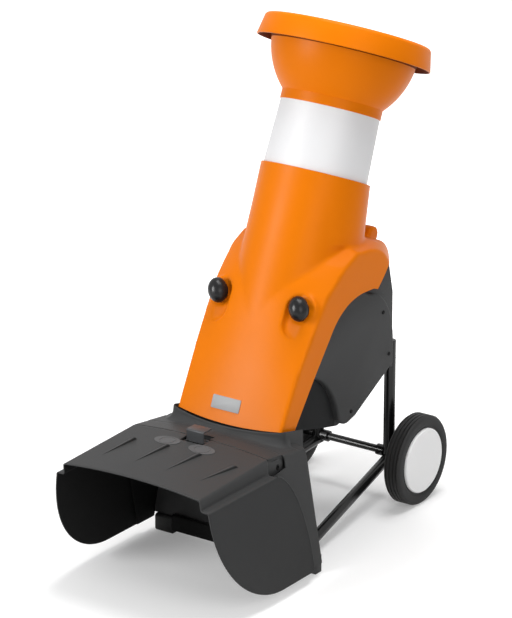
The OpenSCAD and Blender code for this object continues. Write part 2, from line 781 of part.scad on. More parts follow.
// Closed block behind that front, inset on all sides by d, with its lower edge swept down in the middle
module hood_block(d) {
    rear_n = -330;
    n = hood_columns;
    last = len(hood_rows) - 1;
    function x_at(i, j) = (side_x(hood_rows[i]) - d) * (2 * j / n - 1);
    function sweep(x) = bottom_sweep * pow(2 * x / hood_w, 2);
    function s_at(i, x) = hood_rows[i] + (i == last ? (d > 0 ? 40 : 0) - sweep(x) : 0) + (i == 0 ? d : 0);
    front = [for (i = [0:last]) for (j = [0:n]) let(x = x_at(i, j))
        [x, -body_n(x, hood_rows[i]) + d, -s_at(i, x)]];
    rear = [for (i = [0:last]) for (j = [0:n]) let(x = x_at(i, j)) [x, -rear_n, -s_at(i, x)]];
    m = len(front);
    function at(i, j) = i * (n + 1) + j;
    skin = [for (i = [0:last - 1]) for (j = [0:n - 1])
        each [[at(i, j), at(i, j + 1), at(i + 1, j)], [at(i, j + 1), at(i + 1, j + 1), at(i + 1, j)]]];
    function flip(f) = [f[2] + m, f[1] + m, f[0] + m];
    function wall(a, b) = [[b, a, a + m], [b, a + m, b + m]];
    edges = concat(
        [for (j = [0:n - 1]) each wall(at(0, j), at(0, j + 1))],
        [for (j = [0:n - 1]) each wall(at(last, j + 1), at(last, j))],
        [for (i = [0:last - 1]) each wall(at(i + 1, 0), at(i, 0))],
        [for (i = [0:last - 1]) each wall(at(i, n), at(i + 1, n))]);
    polyhedron(concat(front, rear), concat(skin, [for (f = skin) flip(f)], edges));
}

// Side outline of the hood's body: the rounded rear top and the arched lower edge over the side cover
function hood_outline(d) = concat(
    [[-800, 200], [-800, 1000], [-180, 800 - d]],
    arc_points([hood_rear_y - rear_round[0], rear_round_z], rear_round[0] - d, rear_round[1] - d,
        90, d > 0 ? 0 : asin((hood_rear_z - rear_round_z) / rear_round[1]), 6),
    d > 0 ? [[hood_rear_y - d, 200]] :
        concat([[-159, arch_z + 163], [-180, arch_z + 169]],
            arc_points([-222, arch_z], 175, 170, 90, 142, 6), [[-523, 369], [-530, 200]]));

// Slanting rear corner with a rounded top, as everything on its inner side
module hood_corner(d) {
    round_w = 60;
    round_h = 80;
    round_z = 716;
    translate([rear_corner[0], rear_corner[1], 0]) rotate([90, 0, corner_turn]) translate([0, 0, -400])
        linear_extrude(900) polygon(concat([[900, 200], [d, 200]],
            arc_points([round_w, round_z], round_w - d, round_h - d, 180, 90, 6), [[900, 1060]]));
}

module hood_body(d) {
    intersection() {
        on_feed() hood_block(d);
        slab_x(-300, 600) polygon(hood_outline(d));
        hood_corner(d);
        mirror([1, 0, 0]) hood_corner(d);
    }
}

module hood() {
    color(orange) difference() {
        union() {
            on_feed() translate([0, 0, -hood_tube_s]) cylinder(r = collar_r, h = hood_tube_s, $fn = 96);
            hood_body(0);
            both_sides() translate([0, hinge[1], hinge[2]]) rod_x(lug_x[0], lug_x[1], lug_r);
            both_sides() on_feed() translate([knob_x, 0, -knob_s])
                rod_y(-knob_seat_n, -knob_seat_n + 26, knob_seat_r);
        }
        on_feed() translate([0, 0, -hood_tube_s - 1])
            cylinder(r = collar_r - hood_wall, h = hood_tube_s + 2, $fn = 96);
        difference() {
            hood_body(hood_wall);
            both_sides() on_feed() translate([knob_x, 0, -knob_s])
                rod_y(-knob_seat_n, -knob_seat_n + hood_wall, knob_seat_r);
            both_sides() translate([0, hinge[1], hinge[2]]) rod_x(lug_x[0], lug_x[1], lug_r);
        }
        both_sides() on_feed() translate([knob_x, 0, -knob_s]) {
            rod_y(-knob_seat_n - 60, -knob_seat_n, knob_seat_r);
            rod_y(-knob_seat_n - 5, -knob_seat_n + 60, stud_d / 2 + run_gap);
        }
        translate([0, hinge[1], hinge[2]]) rod_x(-300, 300, hinge_pin_d / 2 + run_gap);
        both_sides() translate([ear_x[0] - 3, hinge[1] - 40, hood_rear_z - 20])
            cube([ear_x[1] - ear_x[0] + 6, 80, 140]);
    }
}

module feed_tube() {
    low = -45;
    r0 = tube_d / 2;
    r1 = tube_top_d / 2;
    seat_r = collar_r - hood_wall - seat_gap;
    step = r0 > seat_r ? seat_gap + tube_shell : seat_gap - tube_shell;
    color([0.93, 0.93, 0.93]) on_feed() rotate_extrude($fn = 96) polygon([
        [seat_r, low], [seat_r, seat_gap], [r0, seat_gap], [r1, tube_len], [r1 - tube_shell, tube_len],
        [r0 - tube_shell, step], [seat_r - tube_shell, step],
        [seat_r - tube_shell, low]]);
}

module funnel() {
    neck_r = tube_top_d / 2;
    spigot_r = neck_r - tube_shell - seat_gap;
    spigot = 25;
    bowl_r = bowl_d / 2;
    w = tube_shell;
    low = lip_low - tube_len;
    lip_r = lip_d / 2;
    outside = bowed([neck_r, neck_len], [bowl_r, low], bowl_bow, 10);
    inside = bowed([bowl_r - w, low], [neck_r - w, neck_len], -bowl_bow, 10);
    color(orange) on_feed() translate([0, 0, tube_len]) rotate_extrude($fn = 96) polygon(concat(
        [[spigot_r - w, -spigot], [spigot_r, -spigot], [spigot_r, 0], [neck_r, 0]],
        outside,
        [[lip_top_r - 2 * w - 4, funnel_h - w], [lip_top_r - w - 6, funnel_h - w],
            [lip_top_r - w, funnel_h - w - 8], [lip_r - w, low], [lip_r, low],
            [lip_top_r, funnel_h - lip_edge], [lip_top_r - lip_edge, funnel_h],
            [lip_top_r - 2 * w - 8, funnel_h]],
        inside,
        [[spigot_r - w, neck_len - 6]]));
}

module label_plate() {
    plate_w = 88;
    plate_h = 35;
    plate_t = 1.5;
    plate_x = -12;
    plate_s = hood_s - 51;
    color("silver") on_feed() translate([plate_x - plate_w / 2, -front_n - plate_t, -plate_s - plate_h / 2])
        cube([plate_w, plate_t, plate_h]);
}

// Hinge, forks and knobs

module hinge_bracket() {
    seat_y = housing_rear_y - housing_wall - seat_gap;
    low = housing_rear_top - 32;
    r = 14;
    color(dark) both_sides() difference() {
        slab_x(ear_x[0], ear_x[1] - ear_x[0]) union() {
            translate([hinge[1], hinge[2]]) circle(r = r);
            polygon([[hinge[1] - r + 1, hinge[2]], [hinge[1] + r - 1, hinge[2]], [seat_y, housing_rear_top],
                [seat_y, low], [seat_y - 26, low]]);
        }
        translate([0, hinge[1], hinge[2]]) rod_x(-200, 200, hinge_pin_d / 2 + 0.1);
    }
}

module hinge_pin() {
    color(steel) translate([0, hinge[1], hinge[2]]) rod_x(-lug_x[1] + 1, lug_x[1] - 1, hinge_pin_d / 2);
}

// Plate square to the knob's axis with a slot that is open at the top, on an arm down to the housing's side
module hood_forks() {
    arm_t = 4;
    arm_x = housing_x - housing_wall - seat_gap - arm_t;
    slot_w = stud_d + 4;
    color(steel) both_sides() difference() {
        union() {
            on_feed() translate([knob_x - 16, -fork_n, -knob_s - 30]) cube([32, fork_t, 40]);
            slab_x(arm_x, arm_t) polygon([[-438, 638], [-425, 632], [-382, 590], [-354, 568], [-364, 530],
                [-420, 560]]);
        }
        on_feed() translate([knob_x - slot_w / 2, -fork_n - 50, -knob_s]) cube([slot_w, 100, 60]);
        on_feed() translate([knob_x, -fork_n - 50, -knob_s]) rod_y(0, 100, slot_w / 2);
    }
}

module knob(side) {
    r = knob_len / 2;
    color(black) on_side(side) on_feed() translate([knob_x, -knob_seat_n - seat_gap, -knob_s])
        rotate([90, 0, 0]) difference() {
            intersection() {
                rotate_extrude() polygon(concat([[0, 0], [r - 4, 0], [r - 2, 8]],
                    arc_points([0, knob_h - 20], r, 20, 0, 90, 8)));
                translate([-knob_d / 2, -r, -1]) cube([knob_d, 2 * r, knob_h + 2]);
            }
            translate([0, 0, -1]) cylinder(d = stud_d + 0.1, h = knob_h / 2);
        }
}

module knob_stud(side) {
    color(steel) on_side(side) on_feed() translate([knob_x, 0, -knob_s])
        rod_y(-knob_seat_n - knob_h / 2 + 2, -knob_seat_n + stud_in, stud_d / 2);
}

// Motor and cutter

module cutting_chamber() {
    color(dark) on_motor() difference() {
        translate([0, 0, chamber_floor]) cylinder(r = chamber_r, h = chamber_top - chamber_floor);
        translate([0, 0, chamber_floor + chamber_wall]) cylinder(r = chamber_r - chamber_wall, h = 100);
        translate([0, 0, chamber_floor - 1]) cylinder(r = shaft_d / 2 + 6, h = 10);
        translate([-72, -chamber_r - 5, chamber_floor + chamber_wall]) cube([144, 60, 40]);
    }
}

module chamber_cover() {
    color(steel) on_motor() translate([0, 0, chamber_top]) difference() {
        cylinder(r = chamber_r, h = 4);
        translate([0, -window_off, -1]) cylinder(r = window_r, h = 6);
    }
}

module shield(z) {
    color(steel) on_motor() translate([0, 0, z]) difference() {
        cylinder(d = motor_d, h = shield_t);
        translate([0, 0, 2]) cylinder(r = bearing_r + 0.1, h = shield_t - 4);
        translate([0, 0, -1]) cylinder(r = shaft_d / 2 + 3, h = shield_t + 2);
    }
}

module front_shield() {
    shield(can_top);
}

module rear_shield() {
    shield(can_low - shield_t);
}

module motor_can() {
    color([0.3, 0.32, 0.34]) on_motor() translate([0, 0, can_low]) difference() {
        cylinder(d = motor_d, h = can_len);
        translate([0, 0, -1]) cylinder(d = motor_d - 8, h = can_len + 2);
    }
}

module stator_core() {
    color([0.45, 0.45, 0.47]) on_motor() translate([0, 0, core_top - core_len]) difference() {
        cylinder(d = motor_d - 8 - 0.4, h = core_len);
        translate([0, 0, -1]) cylinder(r = motor_d / 4 + 1.5, h = core_len + 2);
    }
}

module stator_windings() {
    color([0.72, 0.4, 0.2]) on_motor() for (z = [core_top, core_top - core_len - 15]) translate([0, 0, z])
        difference() {
            cylinder(d = motor_d - 22, h = 15);
            translate([0, 0, -1]) cylinder(r = motor_d / 4 + 4, h = 17);
        }
}

module bearings() {
    h = shield_t - 4;
    color(steel) on_motor() for (z = [can_top + 2, can_low - shield_t + 2]) translate([0, 0, z])
        difference() {
            cylinder(r = bearing_r, h = h);
            translate([0, 0, -1]) cylinder(r = shaft_d / 2 + run_gap, h = h + 2);
        }
}

module motor_shaft() {
    color(steel) on_motor() translate([0, 0, shaft_low]) cylinder(d = shaft_d, h = 16 - shaft_low);
}

module rotor_core() {
    color([0.5, 0.5, 0.52]) on_motor() translate([0, 0, core_top - core_len]) difference() {
        cylinder(r = motor_d / 4, h = core_len);
        translate([0, 0, -1]) cylinder(d = shaft_d, h = core_len + 2);
    }
}

module cooling_fan() {
    vanes = 8;
    fan_r = 48;
    fan_h = 12;
    color(black) on_motor() translate([0, 0, shaft_low + 1]) difference() {
        union() {
            cylinder(r = 16, h = fan_h);
            cylinder(r = fan_r, h = 2);
            for (i = [0:vanes - 1]) rotate([0, 0, i * 360 / vanes]) translate([12, -1.2, 0])
                cube([fan_r - 14, 2.4, fan_h]);
        }
        translate([0, 0, -1]) cylinder(d = shaft_d, h = fan_h + 2);
    }
}

module knife_disc() {
    paddles = 4;
    color(steel) on_motor() difference() {
        union() {
            translate([0, 0, -disc_t / 2]) cylinder(d = disc_d, h = disc_t);
            translate([0, 0, -disc_t / 2 - 12]) cylinder(r = shaft_d / 2 + 11, h = 13);
            for (i = [0:paddles - 1]) rotate([0, 0, 45 + i * 360 / paddles])
                translate([40, -2.5, -disc_t / 2 - 18]) cube([disc_d / 2 - 44, 5, 19]);
        }
        translate([0, 0, -40]) cylinder(d = shaft_d, h = 80);
    }
}

knife_len = 72;
knife_w = 30;
knife_t = 5;
knife_in = 34;
knife_screw_d = 8;
knife_screw_x = [knife_in + 16, knife_in + 56];

module knives() {
    color(steel) on_motor() for (turn = [0, 180]) rotate([0, 0, turn]) difference() {
        translate([knife_in, -knife_w / 2, disc_t / 2]) rotate([90, 0, 90]) linear_extrude(knife_len)
            polygon([[0, 0], [knife_w, 0], [knife_w, 1], [knife_w - 10, knife_t], [0, knife_t]]);
        for (x = knife_screw_x) translate([x, -4, 0]) cylinder(d = knife_screw_d, h = 40);
    }
}

module knife_screws() {
    top = disc_t / 2 + knife_t;
    color(steel) on_motor() {
        for (turn = [0, 180]) rotate([0, 0, turn]) for (x = knife_screw_x) translate([x, -4, 0]) {
            translate([0, 0, disc_t / 2]) cylinder(d = knife_screw_d, h = knife_t);
            translate([0, 0, top]) cylinder(r = 6, h = 3.5);
        }
        translate([0, 0, disc_t / 2]) difference() {
            cylinder(r = shaft_d / 2 + 7, h = 8, $fn = 6);
            translate([0, 0, -1]) cylinder(d = shaft_d, h = 10);
        }
    }
}

// Switch, inlet and capacitor

module capacitor() {
    r = 22;
    color([0.82, 0.83, 0.84]) translate([housing_x - 60, housing_rear_y - housing_wall - r - seat_gap, 460])
        cylinder(r = r, h = 90);
}

module switch_box() {
    out = 8;
    in = 46;
    w = switch_w - 8 - 2 * seat_gap;
    h = switch_h - 8 - 2 * seat_gap;
    color(black) difference() {
        union() {
            translate([-switch_w / 2, housing_rear_y, switch_z - switch_h / 2])
                cube([switch_w, out, switch_h]);
            translate([-w / 2, housing_rear_y - in, switch_z - h / 2]) cube([w, in + 1, h]);
        }
        for (x = [-button_x, button_x]) translate([x, 0, switch_z])
            rod_y(housing_rear_y - 14, housing_rear_y + out + 1, button_r + seat_gap);
    }
}

module push_button(x, shade) {
    proud = 6;
    color(shade) translate([x, 0, switch_z])
        rod_y(housing_rear_y - 14 + button_travel + 1, housing_rear_y + 8 + proud, button_r);
}

module start_button() {
    push_button(-button_x, [0.1, 0.5, 0.2]);
}

module stop_button() {
    push_button(button_x, [0.75, 0.08, 0.06]);
}

module power_inlet() {
    color(black) translate([0, 0, inlet_z]) {
        difference() {
            union() {
                rod_y(housing_rear_y, housing_rear_y + 5, inlet_r);
                rod_y(housing_rear_y - 34, housing_rear_y + 1, inlet_r - 5 - seat_gap);
            }
            rod_y(housing_rear_y - 28, housing_rear_y + 6, inlet_r - 9);
        }
        for (turn = [0, 120, 240]) rotate([0, turn, 0]) translate([0, 0, 8])
            rod_y(housing_rear_y - 30, housing_rear_y - 6, 2.4);
    }
}

at_axle() axle();
at_axle() axle_tubes();
at_axle() axle_clips();
at_axle() leg(-1);  // leg_left
at_axle() leg(1);  // leg_right
at_axle() rail(-1);  // rail_left
at_axle() rail(1);  // rail_right
at_axle() axle_rings();
at_axle() front_crossbar();
at_axle() foot(-1);  // foot_left
at_axle() foot(1);  // foot_right
at_axle() frame_bolts();
at_axle() tyre(-1);  // tyre_left
at_axle() tyre(1);  // tyre_right
at_axle() wheel_rim(-1);  // wheel_rim_left
at_axle() wheel_rim(1);  // wheel_rim_right
at_axle() wheel_bush(-1);  // wheel_bush_left
at_axle() wheel_bush(1);  // wheel_bush_right
at_axle() hub_cap(-1);  // hub_cap_left
at_axle() hub_cap(1);  // hub_cap_right
at_axle() housing();
at_axle() side_cover(-1);  // side_cover_left
at_axle() side_cover(1);  // side_cover_right
at_axle() cover_screws();
at_axle() duct_floor();
at_axle() discharge_base();
at_axle() pivot_pins();
at_axle() discharge_flap();
at_axle() latch();
at_axle() hood();
at_axle() feed_tube();
at_axle() funnel();
at_axle() label_plate();
at_axle() hinge_bracket();
at_axle() hinge_pin();
at_axle() hood_forks();
at_axle() knob(-1);  // knob_left
at_axle() knob(1);  // knob_right
at_axle() knob_stud(-1);  // knob_stud_left
at_axle() knob_stud(1);  // knob_stud_right
at_axle() cutting_chamber();
at_axle() chamber_cover();
at_axle() motor_can();
at_axle() front_shield();
at_axle() rear_shield();
at_axle() stator_core();
at_axle() stator_windings();
at_axle() bearings();
at_axle() motor_shaft();
at_axle() rotor_core();
at_axle() cooling_fan();
at_axle() knife_disc();
at_axle() knives();
at_axle() knife_screws();
at_axle() capacitor();
at_axle() switch_box();
at_axle() start_button();
at_axle() stop_button();
at_axle() power_inlet();
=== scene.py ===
import json
import math
from contextlib import contextmanager

import bmesh
import bpy
from mathutils import Matrix, Vector


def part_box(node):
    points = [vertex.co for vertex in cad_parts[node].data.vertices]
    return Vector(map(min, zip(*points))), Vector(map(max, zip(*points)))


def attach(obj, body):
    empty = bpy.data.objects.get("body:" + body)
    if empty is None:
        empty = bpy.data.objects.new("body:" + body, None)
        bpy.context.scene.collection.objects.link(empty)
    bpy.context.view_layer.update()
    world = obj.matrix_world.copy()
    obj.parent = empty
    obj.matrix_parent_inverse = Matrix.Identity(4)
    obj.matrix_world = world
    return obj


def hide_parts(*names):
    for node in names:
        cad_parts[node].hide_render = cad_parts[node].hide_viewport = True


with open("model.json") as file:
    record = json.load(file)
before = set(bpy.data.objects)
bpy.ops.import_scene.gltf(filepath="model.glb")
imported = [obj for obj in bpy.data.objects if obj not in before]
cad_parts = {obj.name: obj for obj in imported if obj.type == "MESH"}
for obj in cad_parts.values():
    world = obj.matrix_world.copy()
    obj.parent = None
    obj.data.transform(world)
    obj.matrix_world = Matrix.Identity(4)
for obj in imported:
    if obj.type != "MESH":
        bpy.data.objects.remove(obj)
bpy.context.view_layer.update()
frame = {"nodes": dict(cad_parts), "record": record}

# Sizes in metres. Lengths along Y are measured from the wheel axle, with the discharge end towards -Y
axle_low, axle_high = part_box("axle")
axle_y = (axle_low.y + axle_high.y) / 2
axle_z = (axle_low.z + axle_high.z) / 2
at_axle = Matrix.Translation((0, axle_y, 0))
merge_gap = 1e-6
sides = ((-1, "left"), (1, "right"))

# Feed axis: local z runs up the tube, local -y is the hood's front
feed_tilt = math.radians(23.4)
hood_top = Vector((0, -0.194, 0.949))
on_feed = at_axle @ Matrix.Translation(hood_top) @ Matrix.Rotation(-feed_tilt, 4, "X")

# Hood. Each drop is a list of (distance down the feed axis, how far the surface falls back there)
collar_r = 0.1435
hood_front = 0.145
hood_length = 0.6893
hood_wall = 0.004
hood_rear = -0.015
shoulder_from = 0.100
shoulder_x = 0.183
hood_bottom_x = 0.165
bottom_sweep = 0.014
crown_power = 2.2
crease_drop = [(0.1, 0.238), (0.14, 0.196), (0.166, 0.163), (0.224, 0.111), (0.312, 0.065), (0.417, 0.043),
               (0.53, 0.024), (0.685, 0.011)]
crown_drop = [(0.1, 0.190), (0.14, 0.150), (0.221, 0.052), (0.27, 0.024), (0.315, 0.010), (0.35, 0.0045),
              (0.4, 0.0015), (0.45, 0.0003), (0.5, 0.0)]
side_drop = [(0.1, 0.005), (0.14, 0.0), (0.224, 0.001), (0.312, 0.008), (0.417, 0.011), (0.53, 0.0155),
             (0.685, 0.018)]
hood_tube_to = 0.440
hinge = (-0.035, 0.750)
knob_x = 0.128
knob_s = 0.356
knob_seat = 0.110

# Feed tube and funnel, as heights above the hood's top edge
tube_r = 0.1395
tube_top_r = 0.1335
tube_len = 0.172
shell_wall = 0.004
slip_fit = 0.0003
funnel_top = tube_len + 0.212
neck_top = tube_len + 0.026
bowl_r = 0.194
bowl_bow = 0.011
lip_r = 0.234
lip_h = 0.061
lip_lean = 0.012

# Discharge flap
flap_front = 1.008
seam_front = 0.715
roof_x = 0.2145
roof_z = 0.350
roof_crown = 0.013
roof_rise = 0.011
shelf_x = 0.2385
shelf_z = 0.320
panel_low_x = 0.282
panel_low_z = 0.030
flap_wall = 0.003
sheet_edge = 0.0009
plate_edge = 0.0008
pivot = (-0.670, 0.327)

# Discharge base and its collar round the hood
base_x = 0.217
base_top = 0.340
base_flare = 0.1818
base_seam = (-0.711, 0.361)
base_step = (-0.6475, 0.3524)
base_back = (-0.574, 0.342)
base_rear = -0.552
strip_x = 0.2105
sill_x = 0.158
collar_x = 0.177
collar_front = -0.621
collar_top = 0.386
collar_sag = 0.009
collar_bulge = 0.026
foot_in_x = 0.202
latch_pivot = (-0.700, 0.358)
latch_w = 0.054
wall_edge = [(0.037, -0.627), (0.194, -0.690), (0.250, -0.700), (0.285, -0.735), (0.312, -0.735),
             (0.316, base_step[0])]

# Housing, frame tubes and wheels
housing_x = 0.138
cover_out = 0.019
housing_low = 0.300
leg_x = 0.116
leg_top = 0.450
leg_r = 0.0158
rail_r = 0.0146
rail_front = (0.188, -0.550, 0.0230)
wheel_x = 0.203
wheel_w = 0.051
wheel_r = 0.125
rim_r = 0.0953
cap_r = 0.090
node_angle = 35


# Helpers for numbers and outlines

def unit(share):
    """Share held between 0 and 1."""
    return min(1, max(0, share))


def between(start, end, share):
    """Value part of the way from a start to an end."""
    return start + (end - start) * share


def from_axle(x, y, z):
    """Point whose y is measured from the wheel axle."""
    return Vector((x, y + axle_y, z))


def feed_point(x, n, s):
    """Point at x, out from the feed axis by n, down it by s."""
    return on_feed @ Vector((x, -n, -s))


def lookup(table, at):
    """Value between the two rows of a table on either side of a place."""
    if at <= table[0][0]:
        return table[0][1]
    for (a, va), (b, vb) in zip(table, table[1:]):
        if at <= b:
            return va + (vb - va) * (at - a) / (b - a)
    return table[-1][1]


def arc(centre, rx, ry, start, end, steps):
    """Points of an elliptical arc, with its angles in degrees."""
    turns = [math.radians(start + (end - start) * i / steps) for i in range(steps + 1)]
    return [(centre[0] + rx * math.cos(t), centre[1] + ry * math.sin(t)) for t in turns]


def rounded_corner(before, corner, after, radius, steps=5):
    """Points of a fillet in place of a sharp corner of an outline."""
    corner = Vector(corner)
    to_before = (Vector(before) - corner).normalized()
    to_after = (Vector(after) - corner).normalized()
    half = to_before.angle(to_after) / 2
    start = corner + to_before * (radius / math.tan(half))
    end = corner + to_after * (radius / math.tan(half))
    centre = corner + (to_before + to_after).normalized() * (radius / math.sin(half))
    spokes = [(start - centre).lerp(end - centre, i / steps) for i in range(steps + 1)]
    return [tuple(centre + spoke.normalized() * radius) for spoke in spokes]


def bowed(start, end, bow, steps):
    """Points from start to end that bulge to the right of that way."""
    start, end = Vector(start), Vector(end)
    way = end - start
    side = Vector((way.y, -way.x)).normalized()
    shares = [i / steps for i in range(steps + 1)]
    return [tuple(start + way * u + side * 4 * bow * u * (1 - u)) for u in shares]


def mirrored(half):
    """Both halves of a section, from a half that starts in the middle."""
    return [(-x, z) for x, z in reversed(half[1:])] + half


# Helpers for meshes

def face_out(bm):
    """Turn the faces outward."""
    bmesh.ops.recalc_face_normals(bm, faces=bm.faces)
    return bm


def seal(bm, fill=False):
    """Merge doubles, fill open ends where asked, and turn the faces outward."""
    bmesh.ops.remove_doubles(bm, verts=bm.verts, dist=merge_gap)
    if fill:
        bmesh.ops.holes_fill(bm, edges=bm.edges)
    return face_out(bm)


def transform(bm, matrix):
    """Move a whole bmesh by a matrix."""
    bmesh.ops.transform(bm, matrix=matrix, verts=bm.verts)


def grid_sheet(columns, rows, place):
    """Grid of faces whose vertices lie where place(column, row) puts them."""
    bm = bmesh.new()
    bmesh.ops.create_grid(bm, x_segments=columns, y_segments=rows, size=1)
    for v in bm.verts:
        v.co = place(round((v.co.x + 1) / 2 * columns), round((v.co.y + 1) / 2 * rows))
    return bm


def pushed_verts(bm, faces):
    """Extrude faces in place, and give the vertices of their copies."""
    made = bmesh.ops.extrude_face_region(bm, geom=list(faces), use_keep_orig=True)["geom"]
    return [g for g in made if isinstance(g, bmesh.types.BMVert)]


def extruded(points, step):
    """Closed prism: a face through the points, pushed along a step."""
    bm = bmesh.new()
    face = bm.faces.new([bm.verts.new(p) for p in points])
    bmesh.ops.translate(bm, verts=pushed_verts(bm, [face]), vec=step)
    return face_out(bm)


def side_prism(points, x0, x1):
    """Prism from x0 to x1 over an outline of (y, z) points measured from the axle."""
    return extruded([from_axle(x0, y, z) for y, z in points], Vector((x1 - x0, 0, 0)))


def turned(profile, steps=96, closed=True):
    """Ring spun round local z from a profile of (radius, height) points."""
    bm = bmesh.new()
    verts = [bm.verts.new((r, 0, z)) for r, z in profile]
    pairs = list(zip(verts, verts[1:]))
    if closed:
        pairs.append((verts[-1], verts[0]))
    edges = [bm.edges.new(pair) for pair in pairs]
    bmesh.ops.spin(bm, geom=verts + edges, axis=(0, 0, 1), cent=(0, 0, 0), angle=math.tau, steps=steps,
                   use_merge=True)
    return seal(bm)


def rod(start, end, radius, segments=48, radius2=None):
    """Capped rod between two points, tapered where a second radius is given."""
    bm = bmesh.new()
    way = end - start
    bmesh.ops.create_cone(bm, cap_ends=True, segments=segments, radius1=radius, radius2=radius2 or radius,
                          depth=way.length)
    turn = way.to_track_quat("Z", "Y").to_matrix().to_4x4()
    transform(bm, Matrix.Translation((start + end) / 2) @ turn)
    return bm


def box_between(low, high):
    """Box between two corners whose y is measured from the axle."""
    bm = bmesh.new()
    bmesh.ops.create_cube(bm, size=1)
    low, high = from_axle(*low), from_axle(*high)
    bmesh.ops.scale(bm, vec=high - low, verts=bm.verts)
    bmesh.ops.translate(bm, vec=(low + high) / 2, verts=bm.verts)
    return bm


def bead(points, radius, sides_round=8):
    """Round bead along points that lie across X."""
    last = len(points) - 1
    out = Vector((1, 0, 0))

    def place(column, row):
        way = (points[min(last, row + 1)] - points[max(0, row - 1)]).normalized()
        up = way.cross(out).normalized()
        turn = math.tau * column / sides_round
        return points[row] + out * radius * math.cos(turn) + up * radius * math.sin(turn)

    return seal(grid_sheet(sides_round, last, place), fill=True)


def bevel(bm, edges, width, segments):
    """Round some edges."""
    bmesh.ops.bevel(bm, geom=list(edges), offset=width, affect="EDGES", segments=segments, profile=0.5,
                    material=-1)


def sharp_edges(bm, degrees=40):
    """Edges that turn by more than an angle."""
    limit = math.radians(degrees)
    return [e for e in bm.edges if len(e.link_faces) == 2 and e.calc_face_angle() > limit]


def mark(faces, index):
    """Set which of a piece's finishes some faces take."""
    for face in faces:
        face.material_index = index


def mark_where(bm, index, chosen):
    """Mark the faces for which chosen(face, middle) holds."""
    mark([f for f in bm.faces if chosen(f, f.calc_center_median())], index)


def merge_in(bm, other):
    """Add another bmesh's faces to this one."""
    mesh = bpy.data.meshes.new("merged")
    other.to_mesh(mesh)
    other.free()
    bm.from_mesh(mesh)
    bpy.data.meshes.remove(mesh)


# Helpers for objects

def to_object(name, bm):
    """Object at the origin that holds a bmesh, which is then freed."""
    mesh = bpy.data.meshes.new(name)
    bm.to_mesh(mesh)
    bm.free()
    obj = bpy.data.objects.new(name, mesh)
    bpy.context.scene.collection.objects.link(obj)
    return obj


@contextmanager
def editing(obj):
    """A bmesh of an object's mesh, written back at the end."""
    bm = bmesh.new()
    bm.from_mesh(obj.data)
    yield bm
    bm.to_mesh(obj.data)
    bm.free()


def settle(obj):
    """Turn an object's modifiers into its mesh."""
    bpy.context.view_layer.update()
    done = obj.evaluated_get(bpy.context.evaluated_depsgraph_get())
    mesh = bpy.data.meshes.new_from_object(done)
    old = obj.data
    obj.modifiers.clear()
    obj.data = mesh
    bpy.data.meshes.remove(old)


def add_modifier(obj, kind, **settings):
    """New modifier of a kind with its settings."""
    modifier = obj.modifiers.new(kind.lower(), kind)
    for key, value in settings.items():
        setattr(modifier, key, value)


def soft_edges(obj, width, degrees=40):
    """Modifier that rounds the edges that turn by more than an angle."""
    add_modifier(obj, "BEVEL", width=width, segments=2, limit_method="ANGLE",
                 angle_limit=math.radians(degrees), profile=0.5)


def two_marks(obj):
    """Room for a first and a second finish."""
    while len(obj.data.materials) < 2:
        obj.data.materials.append(None)


def carve(obj, tool_bm, operation="DIFFERENCE", cut_mark=0):
    """Boolean of an object with a tool. Faces that the tool leaves take the mark as their material index."""
    mark(tool_bm.faces, cut_mark)
    tool = to_object("tool", tool_bm)
    two_marks(obj)
    two_marks(tool)
    add_modifier(obj, "BOOLEAN", operation=operation, solver="EXACT", object=tool)
    settle(obj)
    bpy.data.objects.remove(tool)


def thick_sheet(name, bm):
    """Sheet with its upper side outward, given a wall whose inner faces are marked 1."""
    face_out(bm)
    obj = to_object(name, bm)
    if sum(p.normal.z * p.area for p in obj.data.polygons) < 0:
        obj.data.flip_normals()
    two_marks(obj)
    add_modifier(obj, "SOLIDIFY", thickness=flap_wall, offset=-1, material_offset=1)
    soft_edges(obj, sheet_edge)
    settle(obj)
    return obj


def finish_piece(obj, body, slot, *nodes, sharp=38, further=()):
    """Shade a piece, give it its finish, tie it to its body, and hide the nodes that it stands for.
    Faces marked 1 or more take the further finishes in turn."""
    settle(obj)
    marks = [face.material_index if further else 0 for face in obj.data.polygons]
    obj.data.materials.clear()
    for finish in (slot, *further):
        obj.data.materials.append(finishes[finish])
    obj.data.polygons.foreach_set("material_index", marks)
    obj.data.shade_smooth()
    obj.data.set_sharp_from_angle(angle=math.radians(sharp))
    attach(obj, body)
    if nodes:
        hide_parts(*nodes)


# Finishes

def add_node(tree, kind, inputs=None, **settings):
    """New shader node with its settings, whose outputs are given back. An input takes a value, or another
    node's output that is linked to it."""
    made = tree.nodes.new("ShaderNode" + kind)
    for key, value in settings.items():
        setattr(made, key, value)
    for socket, value in (inputs or {}).items():
        if isinstance(value, bpy.types.NodeSocket):
            tree.links.new(value, made.inputs[socket])
        else:
            made.inputs[socket].default_value = value
    return made.outputs


def new_group(name, numbers, outputs):
    """Node group that reads a place and some numbers, with its two end nodes."""
    group = bpy.data.node_groups.new(name, "ShaderNodeTree")
    group.interface.new_socket("Place", in_out="INPUT", socket_type="NodeSocketVector")
    for way, sockets in (("INPUT", numbers), ("OUTPUT", outputs)):
        for socket in sockets:
            group.interface.new_socket(socket, in_out=way, socket_type="NodeSocketFloat")
    return group, group.nodes.new("NodeGroupInput").outputs, group.nodes.new("NodeGroupOutput").inputs


def grain_group():
    """Fine moulded grain and a slow drift of tone, read from a place on the surface."""
    group, source, result = new_group("moulded_grain", ("Grain Scale", "Drift Scale"), ("Grain", "Drift"))
    for out, values in (("Grain", {"Detail": 3}), ("Drift", {"Detail": 4, "Roughness": 0.6})):
        read = {"Vector": source["Place"], "Scale": source[out + " Scale"]}
        group.links.new(add_node(group, "TexNoise", read | values)["Fac"], result[out])
    return group


